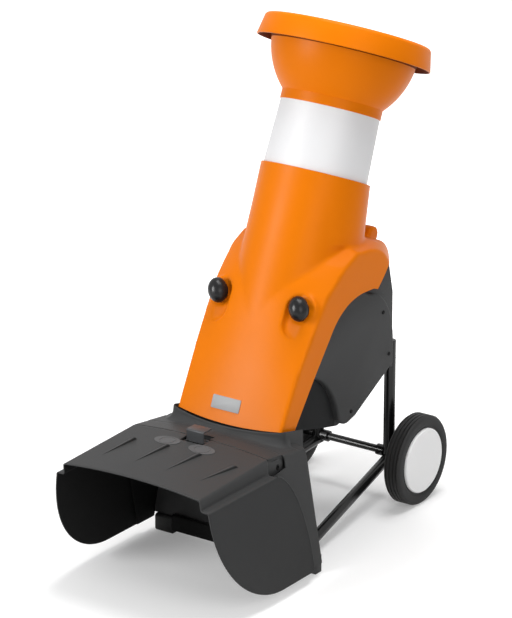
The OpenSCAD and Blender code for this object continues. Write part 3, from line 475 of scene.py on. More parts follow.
def dust_group():
    """Faint dust that settles low on a piece, as a mask."""
    group, source, result = new_group("settled_dust", ("Top", "Amount"), ("Dust",))
    height = add_node(group, "SeparateXYZ", {"Vector": source["Place"]})["Z"]
    low = add_node(group, "MapRange", {"Value": height, "From Max": source["Top"], "To Min": 1, "To Max": 0})
    patches = add_node(group, "TexNoise", {"Vector": source["Place"], "Scale": 38, "Detail": 6})
    mottled = add_node(group, "Math", {0: low["Result"], 1: patches["Fac"]}, operation="MULTIPLY")
    scaled = add_node(group, "Math", {0: mottled["Value"], 1: source["Amount"]}, operation="MULTIPLY")
    group.links.new(scaled["Value"], result["Dust"])
    return group


moulded_grain = grain_group()
settled_dust = dust_group()
drift_scale = 3.0
drift_low, drift_high = 0.3, 0.7
rough_swing = 0.05
grain_depth = 0.001
dust_top = 0.25
dust_colour = (0.30, 0.27, 0.23, 1)


def surface(name, colour, shade, roughness, grain=900.0, bump=0.05, metallic=0.0, specular=0.5, dust=0.0,
            stretch=None):
    """Principled finish whose tone drifts from one colour to a shade of it, with grain as bump."""
    material = bpy.data.materials.new(name)
    material.use_nodes = True
    tree = material.node_tree
    principled = tree.nodes["Principled BSDF"].inputs
    principled["Metallic"].default_value = metallic
    principled["Specular IOR Level"].default_value = specular
    place = add_node(tree, "TexCoord")["Object"]
    if stretch:
        place = add_node(tree, "Mapping", {"Vector": place, "Scale": stretch})["Vector"]
    scales = {"Place": place, "Grain Scale": grain, "Drift Scale": drift_scale}
    moulded = add_node(tree, "Group", scales, node_tree=moulded_grain)
    drift = moulded["Drift"]
    tone = add_node(tree, "Mix", {"Factor": drift, "A": (*colour, 1), "B": (*shade, 1)}, data_type="RGBA")
    if dust:
        settled = add_node(tree, "Group", {"Place": place, "Top": dust_top, "Amount": dust},
                           node_tree=settled_dust)
        tone = add_node(tree, "Mix", {"Factor": settled["Dust"], "A": tone["Result"], "B": dust_colour},
                        data_type="RGBA")
    rough = add_node(tree, "MapRange", {"Value": drift, "From Min": drift_low, "From Max": drift_high,
                                        "To Min": roughness - rough_swing, "To Max": roughness + rough_swing})
    relief = add_node(tree, "Bump", {"Height": moulded["Grain"], "Strength": bump, "Distance": grain_depth})
    tree.links.new(tone["Result"], principled["Base Color"])
    tree.links.new(rough["Result"], principled["Roughness"])
    tree.links.new(relief["Normal"], principled["Normal"])
    return material


# Each finish: its colour, a shade of it, its roughness, and what differs from a plain surface
finish_values = {
    "orange_plastic": ((0.75, 0.180, 0.0005), (0.73, 0.172, 0.0005), 0.40,
                       dict(grain=1400, bump=0.06, specular=0.07)),
    "white_plastic": ((0.76, 0.76, 0.77), (0.73, 0.73, 0.74), 0.45,
                      dict(grain=1200, bump=0.04, specular=0.3)),
    "dark_plastic": ((0.040, 0.0405, 0.041), (0.046, 0.0465, 0.047), 0.52,
                     dict(grain=1100, bump=0.16, specular=0.09, dust=0.03)),
    "black_plastic": ((0.008, 0.008, 0.009), (0.012, 0.012, 0.013), 0.27, dict(grain=1300, specular=0.2)),
    "black_paint": ((0.004, 0.004, 0.004), (0.006, 0.006, 0.006), 0.2,
                    dict(grain=500, bump=0.03, specular=0.3)),
    "steel": ((0.36, 0.36, 0.37), (0.28, 0.28, 0.29), 0.34, dict(grain=600, metallic=1)),
    "tool_steel": ((0.50, 0.50, 0.52), (0.38, 0.38, 0.40), 0.28,
                   dict(grain=350, bump=0.08, metallic=1, stretch=(1, 8, 1))),
    "rubber": ((0.008, 0.008, 0.008), (0.012, 0.012, 0.012), 0.6,
               dict(grain=700, bump=0.15, specular=0.35, dust=0.05)),
    "pale_cap": ((0.92, 0.92, 0.92), (0.88, 0.88, 0.88), 0.5, dict(specular=0.3)),
    "bush_plastic": ((0.70, 0.67, 0.58), (0.64, 0.61, 0.52), 0.5, {}),
    "plate": ((0.34, 0.345, 0.35), (0.30, 0.305, 0.31), 0.5,
              dict(grain=260, specular=0.3, stretch=(1, 14, 14))),
    "motor_paint": ((0.07, 0.08, 0.09), (0.06, 0.07, 0.08), 0.45, {}),
    "cast_alloy": ((0.52, 0.52, 0.53), (0.42, 0.42, 0.43), 0.5, dict(grain=420, bump=0.25, metallic=0.9)),
    "lamination": ((0.16, 0.16, 0.17), (0.10, 0.10, 0.11), 0.5,
                   dict(bump=0.3, metallic=0.6, stretch=(1, 1, 30))),
    "copper_wire": ((0.55, 0.22, 0.08), (0.42, 0.15, 0.05), 0.35,
                    dict(grain=1500, bump=0.4, metallic=0.8, stretch=(1, 1, 6))),
    "green_plastic": ((0.02, 0.28, 0.06), (0.015, 0.24, 0.05), 0.35, {}),
    "red_plastic": ((0.50, 0.010, 0.010), (0.44, 0.008, 0.008), 0.35, {}),
    # Near black: painted shade inside the flap and base, on low front faces of the base and in the pivot
    # crescents; also the black of pins, screws and bolts
    "painted_shade_and_black": ((0.006, 0.006, 0.006), (0.008, 0.008, 0.008), 0.7, dict(bump=0.12, specular=0.08)),
    "tyre_side": ((0.026, 0.026, 0.0265), (0.032, 0.032, 0.032), 0.6,
                  dict(grain=800, bump=0.12, specular=0.15)),
    # Dark orange: painted shade under the funnel's lip
    "lip_painted_shade": ((0.30, 0.062, 0.001), (0.08, 0.014, 0.001), 0.6, dict(specular=0.05)),
    "pad_grey": ((0.085, 0.086, 0.088), (0.10, 0.10, 0.102), 0.55, dict(bump=0.1, specular=0.1)),
    # Darker copy of dark_plastic for the flap's side panels: painted shade, with the same dust
    "panel_painted_shade": ((0.027, 0.0275, 0.028), (0.031, 0.0315, 0.032), 0.52,
                   dict(grain=1100, bump=0.16, specular=0.09, dust=0.03)),
    # Painted shade for the housing's flanks ahead of the covers
    "recess_painted_shade": ((0.013, 0.0135, 0.014), (0.016, 0.0165, 0.017), 0.55, dict(bump=0.1, specular=0.06)),
    "latch_grey": ((0.055, 0.057, 0.060), (0.064, 0.066, 0.069), 0.40, dict(bump=0.08, specular=0.18)),
}
finishes = {name: surface(name, *values, **more) for name, (*values, more) in finish_values.items()}
# Pins, screws and bolts are black; they take the near-black finish that elsewhere paints shade
dark_nodes = ("pivot_pins", "cover_screws", "frame_bolts")
slot_of = {row["node"]: row["material_slot"] for row in frame["record"]["subparts"]}

for node_name, node_slot in slot_of.items():
    node_mesh = frame["nodes"][node_name].data
    node_mesh.materials.clear()
    node_mesh.materials.append(finishes["painted_shade_and_black" if node_name in dark_nodes else node_slot])
    node_mesh.shade_smooth()
    node_mesh.set_sharp_from_angle(angle=math.radians(30))


# Hood

def side_half(s):
    """Half of the body's width, down s."""
    return shoulder_x - lookup(side_drop, s)


def front_at(x, s):
    """How far the body's front lies from the feed axis, across x and down s."""
    crease = hood_front - lookup(crease_drop, s)
    crown = hood_front - lookup(crown_drop, s)
    across = min(1, abs(x) / side_half(s))
    return between(crease, crown, 1 - across ** crown_power)


def hood_block():
    """Solid behind the body's front, run on below the lower edge."""
    columns, rows = 36, 60
    below = 0.05
    depth = 0.330

    def place(column, row):
        s = shoulder_from + (hood_length + below - shoulder_from) * row / rows
        x = side_half(s) * math.sin(math.pi / 2 * (2 * column / columns - 1))
        return feed_point(x, front_at(x, s), s)

    bm = grid_sheet(columns, rows, place)
    to_local = on_feed.inverted()
    back = on_feed.to_3x3() @ Vector((0, 1, 0))
    for v in pushed_verts(bm, bm.faces):
        v.co += back * (depth - (to_local @ v.co).y)
    return face_out(bm)


def hood_envelope():
    """Side outline of the hood with its rounded rear top, run on below the lower edge."""
    round_y, round_z, round_at = 0.090, 0.092, 0.670
    outline = [(-0.8, 0.1), (-0.8, 1.0), (-0.18, 0.8)]
    outline += arc((hood_rear - round_y, round_at), round_y, round_z, 90, 0, 10) + [(hood_rear, 0.1)]
    return side_prism(outline, -0.3, 0.3)


def hood_corner(side):
    """Everything inside the slanting rear corner with its rounded top, on one side."""
    corner = Vector((shoulder_x, -0.108))
    end = Vector((0.118, hood_rear))
    turn = math.pi + math.atan2(corner.x - end.x, end.y - corner.y)
    outline = [(0.9, 0.1), (0, 0.1)] + arc((0.074, 0.690), 0.074, 0.088, 180, 90, 10) + [(0.9, 1.06)]
    bm = extruded([Vector((u, v, -0.4)) for u, v in outline], Vector((0, 0, 0.9)))
    slant = at_axle @ Matrix.Translation((corner.x, corner.y, 0)) @ Matrix.Rotation(turn, 4, "Z")
    transform(bm, slant @ Matrix.Rotation(math.pi / 2, 4, "X"))
    if side < 0:
        bmesh.ops.scale(bm, vec=(-1, 1, 1), verts=bm.verts)
    return face_out(bm)


def bottom_cut():
    """Everything below the hood's lower edge, which sweeps up at the sides."""
    columns = 24
    half, reach, deep = 0.24, 0.3, 0.2

    def place(column, row):
        x = half * (2 * column / columns - 1)
        s = hood_length - bottom_sweep * (x / hood_bottom_x) ** 2
        return feed_point(x, reach * (1 - 2 * row), s)

    bm = grid_sheet(columns, 1, place)
    down = on_feed.to_3x3() @ Vector((0, 0, -deep))
    bmesh.ops.translate(bm, verts=pushed_verts(bm, bm.faces), vec=down)
    return face_out(bm)


def arch_cut():
    """Everything below the arched edge over a side cover, through to the rear edge."""
    outline = [(0.05, 0.1), (0.05, 0.675), (hood_rear, 0.690), (-0.112, 0.711)]
    outline += [(-0.161, 0.654), (-0.18, 0.661)] + arc((-0.222, 0.492), 0.175, 0.170, 90, 142, 14)
    outline += [(-0.523, 0.369), (-0.530, 0.1)]
    return side_prism(outline, -0.35, 0.35)


def knob_pocket(side):
    """Round pocket under a knob, and a scoop that runs out down the front."""
    x = side * knob_x
    wide, top, low = 0.039, 0.345, 0.398
    slope, sink = 0.17, 0.001
    pocket = rod(feed_point(x, knob_seat, knob_s), feed_point(x, 0.19, knob_s), 0.037, radius2=0.046)
    outline = [(wide, top)] + arc((0, low), wide, wide, 0, 180, 12) + [(-wide, top)]
    floor = [feed_point(x + u, knob_seat + slope * (s - knob_s) - sink, s) for u, s in outline]
    scoop = extruded(floor, on_feed.to_3x3() @ Vector((0, -0.07, 0)))
    return pocket, scoop


def make_hood():
    """Body, tube, hinge lugs and knob seats grown together, then cut open and given a wall."""
    cut = 1
    voxel = 0.004
    past_top = -0.04
    swell = 0.0004
    flare, flare_from, flare_r, flare_top_r = 0.022, 0.17, 0.012, 0.001
    slot_in, slot_out = 0.015, 0.047
    slot_low, slot_high = (-0.075, 0.634), (0.005, 0.78)
    lug_in, lug_out, lug_r = 0.048, 0.082, 0.024
    boss_from, boss_r = 0.06, 0.040
    obj = to_object("hood_skin", hood_block())
    for keep in (hood_envelope(), hood_corner(1), hood_corner(-1)):
        carve(obj, keep, "INTERSECT")
    with editing(obj) as bm:
        merge_in(bm, rod(feed_point(0, 0, hood_tube_to), feed_point(0, 0, past_top), collar_r + swell, 96))
        merge_in(bm, rod(feed_point(0, -flare, flare_from), feed_point(0, flare * 0.15, past_top),
                         collar_r + flare_r, 96, radius2=collar_r + flare_top_r))
        for side in (-1, 1):
            x = side * knob_x
            merge_in(bm, rod(from_axle(side * lug_in, *hinge), from_axle(side * lug_out, *hinge), lug_r))
            merge_in(bm, rod(feed_point(x, boss_from, knob_s), feed_point(x, knob_seat, knob_s), boss_r))
    add_modifier(obj, "REMESH", mode="VOXEL", voxel_size=voxel)
    settle(obj)
    for side in (-1, 1):
        for tool in knob_pocket(side):
            carve(obj, tool)
    add_modifier(obj, "REMESH", mode="VOXEL", voxel_size=voxel)
    add_modifier(obj, "SMOOTH", factor=0.5, iterations=8)
    settle(obj)
    carve(obj, bottom_cut(), cut_mark=cut)
    carve(obj, arch_cut(), cut_mark=cut)
    for side in (-1, 1):
        low_x, high_x = sorted((side * slot_in, side * slot_out))
        carve(obj, box_between((low_x, *slot_low), (high_x, *slot_high)), cut_mark=cut)
    with editing(obj) as bm:
        bmesh.ops.delete(bm, geom=[f for f in bm.faces if f.material_index == cut], context="FACES")
        bmesh.ops.bisect_plane(bm, geom=bm.verts[:] + bm.edges[:] + bm.faces[:], plane_co=feed_point(0, 0, 0),
                               plane_no=on_feed.to_3x3() @ Vector((0, 0, 1)), clear_outer=True)
        bmesh.ops.dissolve_degenerate(bm, dist=1e-5, edges=bm.edges)
    add_modifier(obj, "SOLIDIFY", thickness=hood_wall, offset=-1)
    finish_piece(obj, "hood", "orange_plastic", "hood", sharp=50)


make_hood()


# Feed tube and funnel

def make_feed_tube():
    """Sleeve that sits in the hood's collar and tapers upward."""
    seat_r = collar_r - hood_wall - slip_fit
    seat_low, seat_top = -0.045, -0.004
    inner_r = tube_r - shell_wall
    profile = [(seat_r, seat_low), (seat_r, seat_top), (tube_r, 0.0)]
    profile += [(tube_r + (tube_top_r - tube_r) * i / 4, tube_len * i / 4) for i in range(1, 5)]
    profile += [(tube_top_r - shell_wall, tube_len), (inner_r, 0), (inner_r, seat_low)]
    bm = turned(profile, 128)
    transform(bm, on_feed)
    finish_piece(to_object("feed_tube_sleeve", bm), "hood", "white_plastic", "feed_tube")


def make_funnel():
    """Spigot, bowed bowl and turned-down lip, with painted shade in the channel under the lip."""
    w = shell_wall
    low = funnel_top - lip_h
    top_r = lip_r - lip_lean
    spigot_r = tube_top_r - w - slip_fit
    spigot_low = tube_len - 0.025
    neck_r = tube_top_r + 0.002
    low_round, lip_round, mouth_round = 0.0015, 0.012, 0.008
    profile = [(spigot_r - w, spigot_low), (spigot_r, spigot_low), (spigot_r, tube_len)]
    profile += [(tube_top_r + 0.001, tube_len), (neck_r, tube_len + 0.001), (neck_r, neck_top - 0.003)]
    profile += bowed((neck_r, neck_top), (bowl_r, low), bowl_bow, 16)
    profile += [(top_r - 2 * w - 0.004, funnel_top - w), (top_r - w - 0.010, funnel_top - w),
                (top_r - w, funnel_top - w - 0.012), (lip_r - w, low)]
    profile += rounded_corner((lip_r - w, low), (lip_r, low), (top_r, funnel_top), low_round, 3)
    profile += rounded_corner((lip_r, low), (top_r, funnel_top), (bowl_r, funnel_top), lip_round, 8)
    mouth = (top_r - 0.030, funnel_top)
    profile += rounded_corner((top_r, funnel_top), mouth, (bowl_r - 0.02, low), mouth_round, 6)
    profile += bowed((bowl_r - w, low), (tube_top_r - w, neck_top), -bowl_bow, 16)
    profile += [(spigot_r - w, neck_top - 0.006)]
    bm = turned(profile, 160)

    def in_channel(face, middle):
        under_lip = bowl_r + 0.002 < middle.xy.length < lip_r - w - 0.0002
        return face.normal.z < -0.2 and middle.z > low - 0.001 and under_lip

    # Faces in the channel under the lip take a dark orange: painted shade
    mark_where(bm, 1, in_channel)
    transform(bm, on_feed)
    finish_piece(to_object("funnel_bowl", bm), "hood", "orange_plastic", "funnel", further=("lip_painted_shade",))


make_feed_tube()
make_funnel()


# Plate and knobs

def make_plate():
    """Blank plate with round corners, low on the hood's front."""
    wide, high, thick = 0.088, 0.035, 0.0015
    corner_r, rim_round = 0.003, 0.0004
    off_middle, above_edge = -0.012, 0.051
    bm = bmesh.new()
    bmesh.ops.create_cube(bm, size=1)
    bmesh.ops.scale(bm, vec=(wide, thick, high), verts=bm.verts)
    corners = [e for e in bm.edges if abs(e.verts[0].co.y - e.verts[1].co.y) > thick / 2]
    bevel(bm, corners, corner_r, 4)
    rim = [e for e in sharp_edges(bm) if all(v.co.y < 0 for v in e.verts)]
    bevel(bm, rim, rim_round, 2)
    place = Matrix.Translation((off_middle, -hood_front - thick / 2, above_edge - hood_length))
    transform(bm, on_feed @ place)
    finish_piece(to_object("blank_plate", bm), "hood", "plate", "label_plate")


def make_knob(side, name):
    """Egg-shaped knob, longer than it is wide, with a waist above its foot, turned a little on its axis."""
    r, h = 0.034, 0.046
    egg_h = 0.027
    narrow = 0.027 / r
    rest_turn = math.radians(26)
    profile = [(0.0, 0.0), (r - 0.010, 0.0), (r - 0.008, 0.002), (r - 0.009, 0.007), (r - 0.004, 0.013)]
    profile += arc((0, h - egg_h), r, egg_h, -8, 90, 14)
    bm = turned(profile, 72, closed=False)
    bmesh.ops.scale(bm, vec=(narrow, 1, 1), verts=bm.verts)
    bmesh.ops.rotate(bm, matrix=Matrix.Rotation(rest_turn, 3, "Z"), verts=bm.verts)
    place = on_feed @ Matrix.Translation((side * knob_x, -knob_seat - slip_fit, -knob_s))
    transform(bm, place @ Matrix.Rotation(math.pi / 2, 4, "X"))
    seal(bm)
    finish_piece(to_object(name + "_grip", bm), name, "black_plastic", name)


make_plate()
for knob_side, knob_name in sides:
    make_knob(knob_side, "knob_" + knob_name)


# Discharge flap

def crown_radius(half):
    """Radius of a roof that is crowned across a half width."""
    return (half ** 2 + roof_crown ** 2) / (2 * roof_crown)


def crowned(x, half):
    """Rise of a crowned roof above its edges."""
    r = crown_radius(half)
    return math.sqrt(max(0, r * r - x * x)) - r + roof_crown


def along_roof(y):
    """Share of the way from the flap's front to its seam."""
    return (y + flap_front) / (flap_front - seam_front)


def roof_height(x, along):
    """Height of the roof's outer face, with along running from 0 at the front to 1 at the seam."""
    return roof_z + roof_rise * along + crowned(x, roof_x)


def flap_section():
    """Half of the flap's outer section at the front, from its middle to the foot of a side panel."""
    across, down = 24, 28
    xs = [i * roof_x / across for i in range(across)]
    points = [(x, roof_height(x, 0)) for x in xs]
    edge = (roof_x, roof_z)
    shelf_in = (roof_x + 0.0015, shelf_z)
    shelf_out = (shelf_x, shelf_z)
    foot = (panel_low_x, panel_low_z)
    points += rounded_corner(points[-1], edge, shelf_in, 0.008)
    points += rounded_corner(edge, shelf_in, shelf_out, 0.005, 4)
    points += rounded_corner(shelf_in, shelf_out, foot, 0.006, 4)
    last = Vector(points[-1])
    shares = [math.sin(math.pi / 2 * i / down) for i in range(1, down + 1)]
    return points + [tuple(last.lerp(Vector(foot), share)) for share in shares]


def panel_front(z):
    """Front edge of a side panel, which falls back in a curve towards its foot."""
    foot_back, bow = 0.268, 0.264
    drop = unit((shelf_z - z) / (shelf_z - panel_low_z))
    return -(flap_front - foot_back) - bow * math.sqrt(1 - drop * drop)


def panel_rear(z):
    """Rear edge of a side panel, which swings back in a curve towards its foot."""
    top_y, swing = -0.720, 0.122
    rise = unit((z - panel_low_z) / (shelf_z - panel_low_z))
    return top_y + swing * math.sqrt(1 - rise * rise)


def flap_shell():
    """Roof, shelves and side panels as one sheet."""
    section = mirrored(flap_section())
    columns, rows = 40, len(section) - 1
    shelf_back = 0.004

    def place(column, row):
        x, z = section[row]
        share = column / columns
        front, rear = panel_front(z), panel_rear(z)
        if z > shelf_z - 0.001:
            on_roof = unit((z - shelf_z) / (roof_z - shelf_z))
            front = -flap_front + shelf_back * (1 - on_roof)
            rear = -seam_front
            z += roof_rise * share * on_roof
        return from_axle(x, between(front, rear, share), z)

    return grid_sheet(columns, rows, place)


def flap_rib(x, lean):
    """Wedge that rises from nothing at the front to a blunt end at the rear, steep on its right."""
    front, rear = -0.944, -0.798
    wide, high, sink = 0.020, 0.0085, 0.0006
    tip, blunt_from, swell = 0.06, 0.95, 1.2
    steps, across = 18, 7
    rise = (0, 0.16, 0.34, 0.54, 0.76, 1, 0.94, 0)

    def place(column, row):
        share = row / steps
        blunt = math.sqrt(max(0, 1 - max(0, (share - blunt_from) / (1 - blunt_from)) ** 2))
        half = wide / 2 * between(tip, 1, share)
        px = x + lean * (share - 1) + half * (2 * min(column, across - 1) / (across - 1) - 1)
        py = between(front, rear, share)
        lift = high * share ** swell * blunt * rise[column]
        return from_axle(px, py, roof_height(px, along_roof(py)) + lift - sink)

    return grid_sheet(across, steps, place)


def roof_pad(x, y):
    """Bare round pad with a raised ring, on an oval flat."""
    flat_h, sink = 0.0012, 0.0004
    oval = arc((0, 0), 0.038, 0.024, 0, 360, 40)[:-1]
    bm = extruded([Vector((px, py, 0)) for px, py in oval], Vector((0, 0, flat_h)))
    merge_in(bm, turned([(0.0195, 0.001), (0.0200, 0.0022), (0.0215, 0.0022), (0.0220, 0.001)], 48))
    lean = math.atan(roof_rise / (flap_front - seam_front))
    tip = math.asin(x / crown_radius(roof_x))
    place = Matrix.Translation(from_axle(x, y, roof_height(x, along_roof(y)) - sink))
    transform(bm, place @ Matrix.Rotation(lean, 4, "X") @ Matrix.Rotation(tip, 4, "Y"))
    return bm


def flap_ear(side):
    """Round ear about the pivot, and a thin crescent of painted shade where its pin sits."""
    outer = side * (roof_x - 0.0005)
    front = -seam_front - 0.004
    outline = [(front, roof_z + roof_rise - 0.003), (pivot[0] - 0.0200, pivot[1] + 0.0215)]
    outline += arc(pivot, 0.0205, 0.021, 105, -100, 28) + [(front, 0.318)]
    ear = side_prism(outline, outer - side * flap_wall, outer)
    bevel(ear, sharp_edges(ear, 60), plate_edge, 2)
    crescent = arc(pivot, 0.0085, 0.0085, 60, 300, 16)
    crescent += arc((pivot[0] + 0.004, pivot[1]), 0.007, 0.007, 290, 70, 16)
    slot = side_prism(crescent, outer - side * 0.001, outer + side * 0.0003)
    # The crescent is a thin sheet that takes painted shade, for the shade in the pin's slot
    mark(slot.faces, 1)
    merge_in(ear, slot)
    return ear


def panel_bead(side):
    """Bead down the rear edge of a side panel."""
    steps = 30
    radius = 0.0022
    lean = (panel_low_x - shelf_x) / (shelf_z - panel_low_z)
    foot = panel_low_z + 0.012
    rise = shelf_z - 0.008 - panel_low_z
    heights = [foot + rise * math.sin(math.pi / 2 * i / steps) for i in range(steps + 1)]
    edge = [from_axle(side * (shelf_x + lean * (shelf_z - z) - 0.001), panel_rear(z) - 0.002, z)
            for z in heights if z < shelf_z - 0.0005]
    return bead(edge, radius)


def make_flap():
    """Shell with a notch for the latch, and its ribs, pads, ears and beads."""
    notch_half, notch_front = 0.038, -0.752
    pad_mark, panel_shade_mark = 2, 3
    bm = flap_shell()

    def in_notch(middle):
        return abs(middle.x) < notch_half and middle.y - axle_y > notch_front and middle.z > shelf_z

    def on_panel(face, middle):
        return face.material_index == 0 and abs(face.normal.x) > 0.6 and middle.z < shelf_z - 0.003

    gone = [f for f in bm.faces if in_notch(f.calc_center_median())]
    bmesh.ops.delete(bm, geom=gone, context="FACES")
    # The shell's inner faces are marked 1 and take painted shade
    obj = thick_sheet("flap_shell", bm)
    with editing(obj) as bm:
        for x, lean in ((-0.147, 0.010), (-0.041, 0.014), (0.060, 0.016), (0.171, 0.026)):
            merge_in(bm, flap_rib(x, lean))
        for pad in (roof_pad(-0.060, -0.772), roof_pad(0.050, -0.774)):
            mark(pad.faces, pad_mark)
            merge_in(bm, pad)
        # Outer faces of the side panels take the darker copy of the plastic: painted shade
        mark_where(bm, panel_shade_mark, on_panel)
        for side in (-1, 1):
            merge_in(bm, flap_ear(side))
            merge_in(bm, panel_bead(side))
    finish_piece(obj, "flap", "dark_plastic", "discharge_flap", sharp=35,
                 further=("painted_shade_and_black", "pad_grey", "panel_painted_shade"))


make_flap()


# Discharge base and latch

def base_roof_height(x, y):
    """Height of the base's roof between the flap's seam and the collar."""
    share = unit((y - base_seam[0]) / (base_back[0] - base_seam[0]))
    return between(base_seam[1], base_back[1], share) + crowned(x, base_x)


def base_body():
    """Roof and side walls behind the step, as one sheet over the section. Roof points have height 0 in it."""
    low_z = 0.034
    corner_r = 0.011
    rear_blend, corner_blend = 0.025, 0.02
    low = Vector((base_x + (base_top - low_z) * base_flare, low_z))
    corner_z = base_roof_height(base_x, base_step[0])
    roof = [(base_x * i / 30, 0) for i in range(29)]
    turn = rounded_corner((base_x - 0.03, corner_z + 0.003), (base_x, corner_z), low, corner_r, 6)
    wall = [tuple(Vector(turn[-1]).lerp(low, i / 26)) for i in range(1, 27)]
    section = mirrored(roof + turn + wall)
    columns, rows = 20, len(section) - 1

    def place(column, row):
        x, z = section[row]
        share = column / columns
        if z == 0:
            y = between(base_step[0], base_back[0], share)
            return from_axle(x, y, base_roof_height(x, y))
        rear = between(base_back[0], base_rear, unit((corner_z - z) / rear_blend))
        y = between(lookup(wall_edge, z), rear, share)
        drop = base_roof_height(base_x, y) - corner_z
        return from_axle(x, y, z + drop * max(0, 1 - (corner_z - z) / corner_blend))

    def in_collar(v):
        behind_front = v.co.y - axle_y > collar_front + 0.030
        return behind_front and abs(v.co.x) < collar_x - 0.002 and v.co.z > base_top

    bm = grid_sheet(columns, rows, place)
    gone = [f for f in bm.faces if all(in_collar(v) for v in f.verts)]
    bmesh.ops.delete(bm, geom=gone, context="FACES")
    return bm


def strip_sheet(half, start, end):
    """Crowned strip of roof of one width between two (y, z) edges."""
    columns, rows = 8, 40

    def place(column, row):
        x = half * (2 * row / rows - 1)
        share = column / columns
        z = between(start[1], end[1], share)
        return from_axle(x, between(start[0], end[0], share), z + crowned(x, half))

    return grid_sheet(columns, rows, place)


def collar_path():
    """Plan of the collar's outer face: a straight side, a round corner, half the front, mirrored."""
    front_half = 0.152
    corner_x, corner_y, corner_at = 0.018, 0.0155, -0.582
    half = [(collar_x, -0.505 - 0.015 * i) for i in range(6)]
    half += arc((collar_x - corner_x, corner_at), corner_x, corner_y, 0, -72, 8)
    across = [front_half - front_half * i / 14 for i in range(15)]
    half += [(x, collar_front + collar_bulge * (x / 0.173) ** 2) for x in across]
    return half + [(-x, y) for x, y in reversed(half[:-1])]


def collar_ring():
    """Collar with a rounded rim and, round its front, a hollow fillet down to the roof."""
    path = [Vector(p) for p in collar_path()]
    last = len(path) - 1
    middle = Vector((0, -0.5))
    wall, edge = 0.0035, 0.0012
    low = base_top - 0.024
    spread, rise = 0.026, 0.026
    fillet_from, fillet_grows = -0.562, 0.02
    slope_from, slope = -0.585, 0.226
    below_rim, sunk, overlap = 0.006, 0.003, 0.0006
    turns = [math.pi / 2 * i / 8 for i in range(9)]
    fillet = [(1 - math.sin(turn), 1 - math.cos(turn)) for turn in turns]
    rim = [(0.0006, -0.0035), (-0.0002, -0.001), (-0.0014, 0), (-0.0026, -0.0006), (-wall, -0.003)]

    def section(column):
        """Points round the collar's wall in plan and height, at one place of its path."""
        here = path[column]
        way = (path[min(last, column + 1)] - path[max(0, column - 1)]).normalized()
        out = Vector((-way.y, way.x))
        if out.dot(here - middle) < 0:
            out = -out
        share = unit((fillet_from - here.y) / fillet_grows)
        top = collar_top - collar_sag * (1 - (here.x / collar_x) ** 2) - max(0, here.y - slope_from) * slope
        reach = edge + spread * share
        foot = here + out * reach
        ground = base_roof_height(foot.x, foot.y) if share > 0 else low
        climb = min(rise, top - below_rim - ground)
        points = [(0, low), (reach * 0.9, ground - sunk if share > 0 else low)]
        points += [(between(edge, reach, u), ground - overlap + climb * v) for u, v in fillet]
        points += [(d, top + v) for d, v in rim] + [(-wall, base_top), (-wall, low)]
        return [from_axle(*(here + out * d), z) for d, z in points]

    sections = [section(column) for column in range(last + 1)]
    rows = len(sections[0])
    return seal(grid_sheet(last, rows, lambda column, row: sections[column][row % rows]), fill=True)


def rear_corner(side):
    """Strip that carries the roof and its rounded corner back to the rear wall, just inside the sheet."""
    edge_z = base_roof_height(base_x, base_back[0])
    roof = [(x, base_roof_height(x, base_back[0]) - 0.0004) for x in (sill_x, 0.175, 0.192, base_x - 0.0095)]
    turn = [(base_x - 0.0040, edge_z - 0.0016), (base_x - 0.0012, edge_z - 0.0045)]
    wall = [(base_x - 0.0004 + d * base_flare, edge_z - d) for d in (0.0105, 0.0245)]
    inward = [(0, 1)] * len(roof) + [(0.6, 0.8), (0.9, 0.4)] + [(1, 0)] * len(wall)
    outer = roof + turn + wall
    under = [(x - flap_wall * u, z - flap_wall * v) for (x, z), (u, v) in zip(outer, inward)]
    front = base_back[0] - 0.003
    rim = [from_axle(side * x, front, z) for x, z in outer + under[::-1]]
    return extruded(rim, Vector((0, base_rear - front, 0)))


def base_plates():
    """Rear wall, apron, ears, ledges, saddles, latch cheeks and rear corners, as plates."""
    low_z = 0.048
    low_x = base_x + (base_top - low_z) * base_flare - 0.002
    half_rear = [(low_x, low_z), (base_x - 0.001, base_top - 0.008)]
    half_rear += [(x, base_roof_height(x, base_back[0]) - 0.0015) for x in (base_x - 0.008, 0.185, sill_x)]
    half_rear += [(sill_x, 0.368)]
    rear = half_rear + [(-x, z) for x, z in reversed(half_rear)]
    plates = [extruded([from_axle(x, base_rear - flap_wall, z) for x, z in rear], Vector((0, flap_wall, 0)))]
    half = foot_in_x - 0.002
    plates += [box_between((-half, -0.567, 0.013), (half, -0.564, 0.058)),
               box_between((-half, -0.567, 0.055), (half, -0.553, 0.058))]
    ear = arc(pivot, 0.017, 0.017, 175, 310, 14)
    ear += [(-0.600, 0.297), (-0.600, 0.343), (-0.682, 0.355), (-0.7085, 0.3570), (-0.7085, 0.342)]
    ledge = [(-0.634, 0.312), (-0.634, 0.330), (-0.598, 0.340), (-0.598, 0.312)]
    saddle = [(-0.553, 0.335), (-0.507, 0.335), (-0.507, 0.356), (-0.545, 0.3616), (-0.553, 0.362)]
    cheek = [(-0.712, 0.350), (-0.688, 0.350), (-0.686, 0.3685), (-0.712, 0.372)]
    for side in (-1, 1):
        for outline, x0, x1 in ((ear, 0.2045, strip_x), (ledge, 0.2045, 0.218), (saddle, 0.040, 0.090),
                                (cheek, latch_w / 2 + 0.001, latch_w / 2 + 0.007)):
            plates.append(side_prism(outline, side * x0, side * x1))
    for plate in plates:
        bevel(plate, sharp_edges(plate, 50), plate_edge, 2)
    return plates + [rear_corner(side) for side in (-1, 1)]


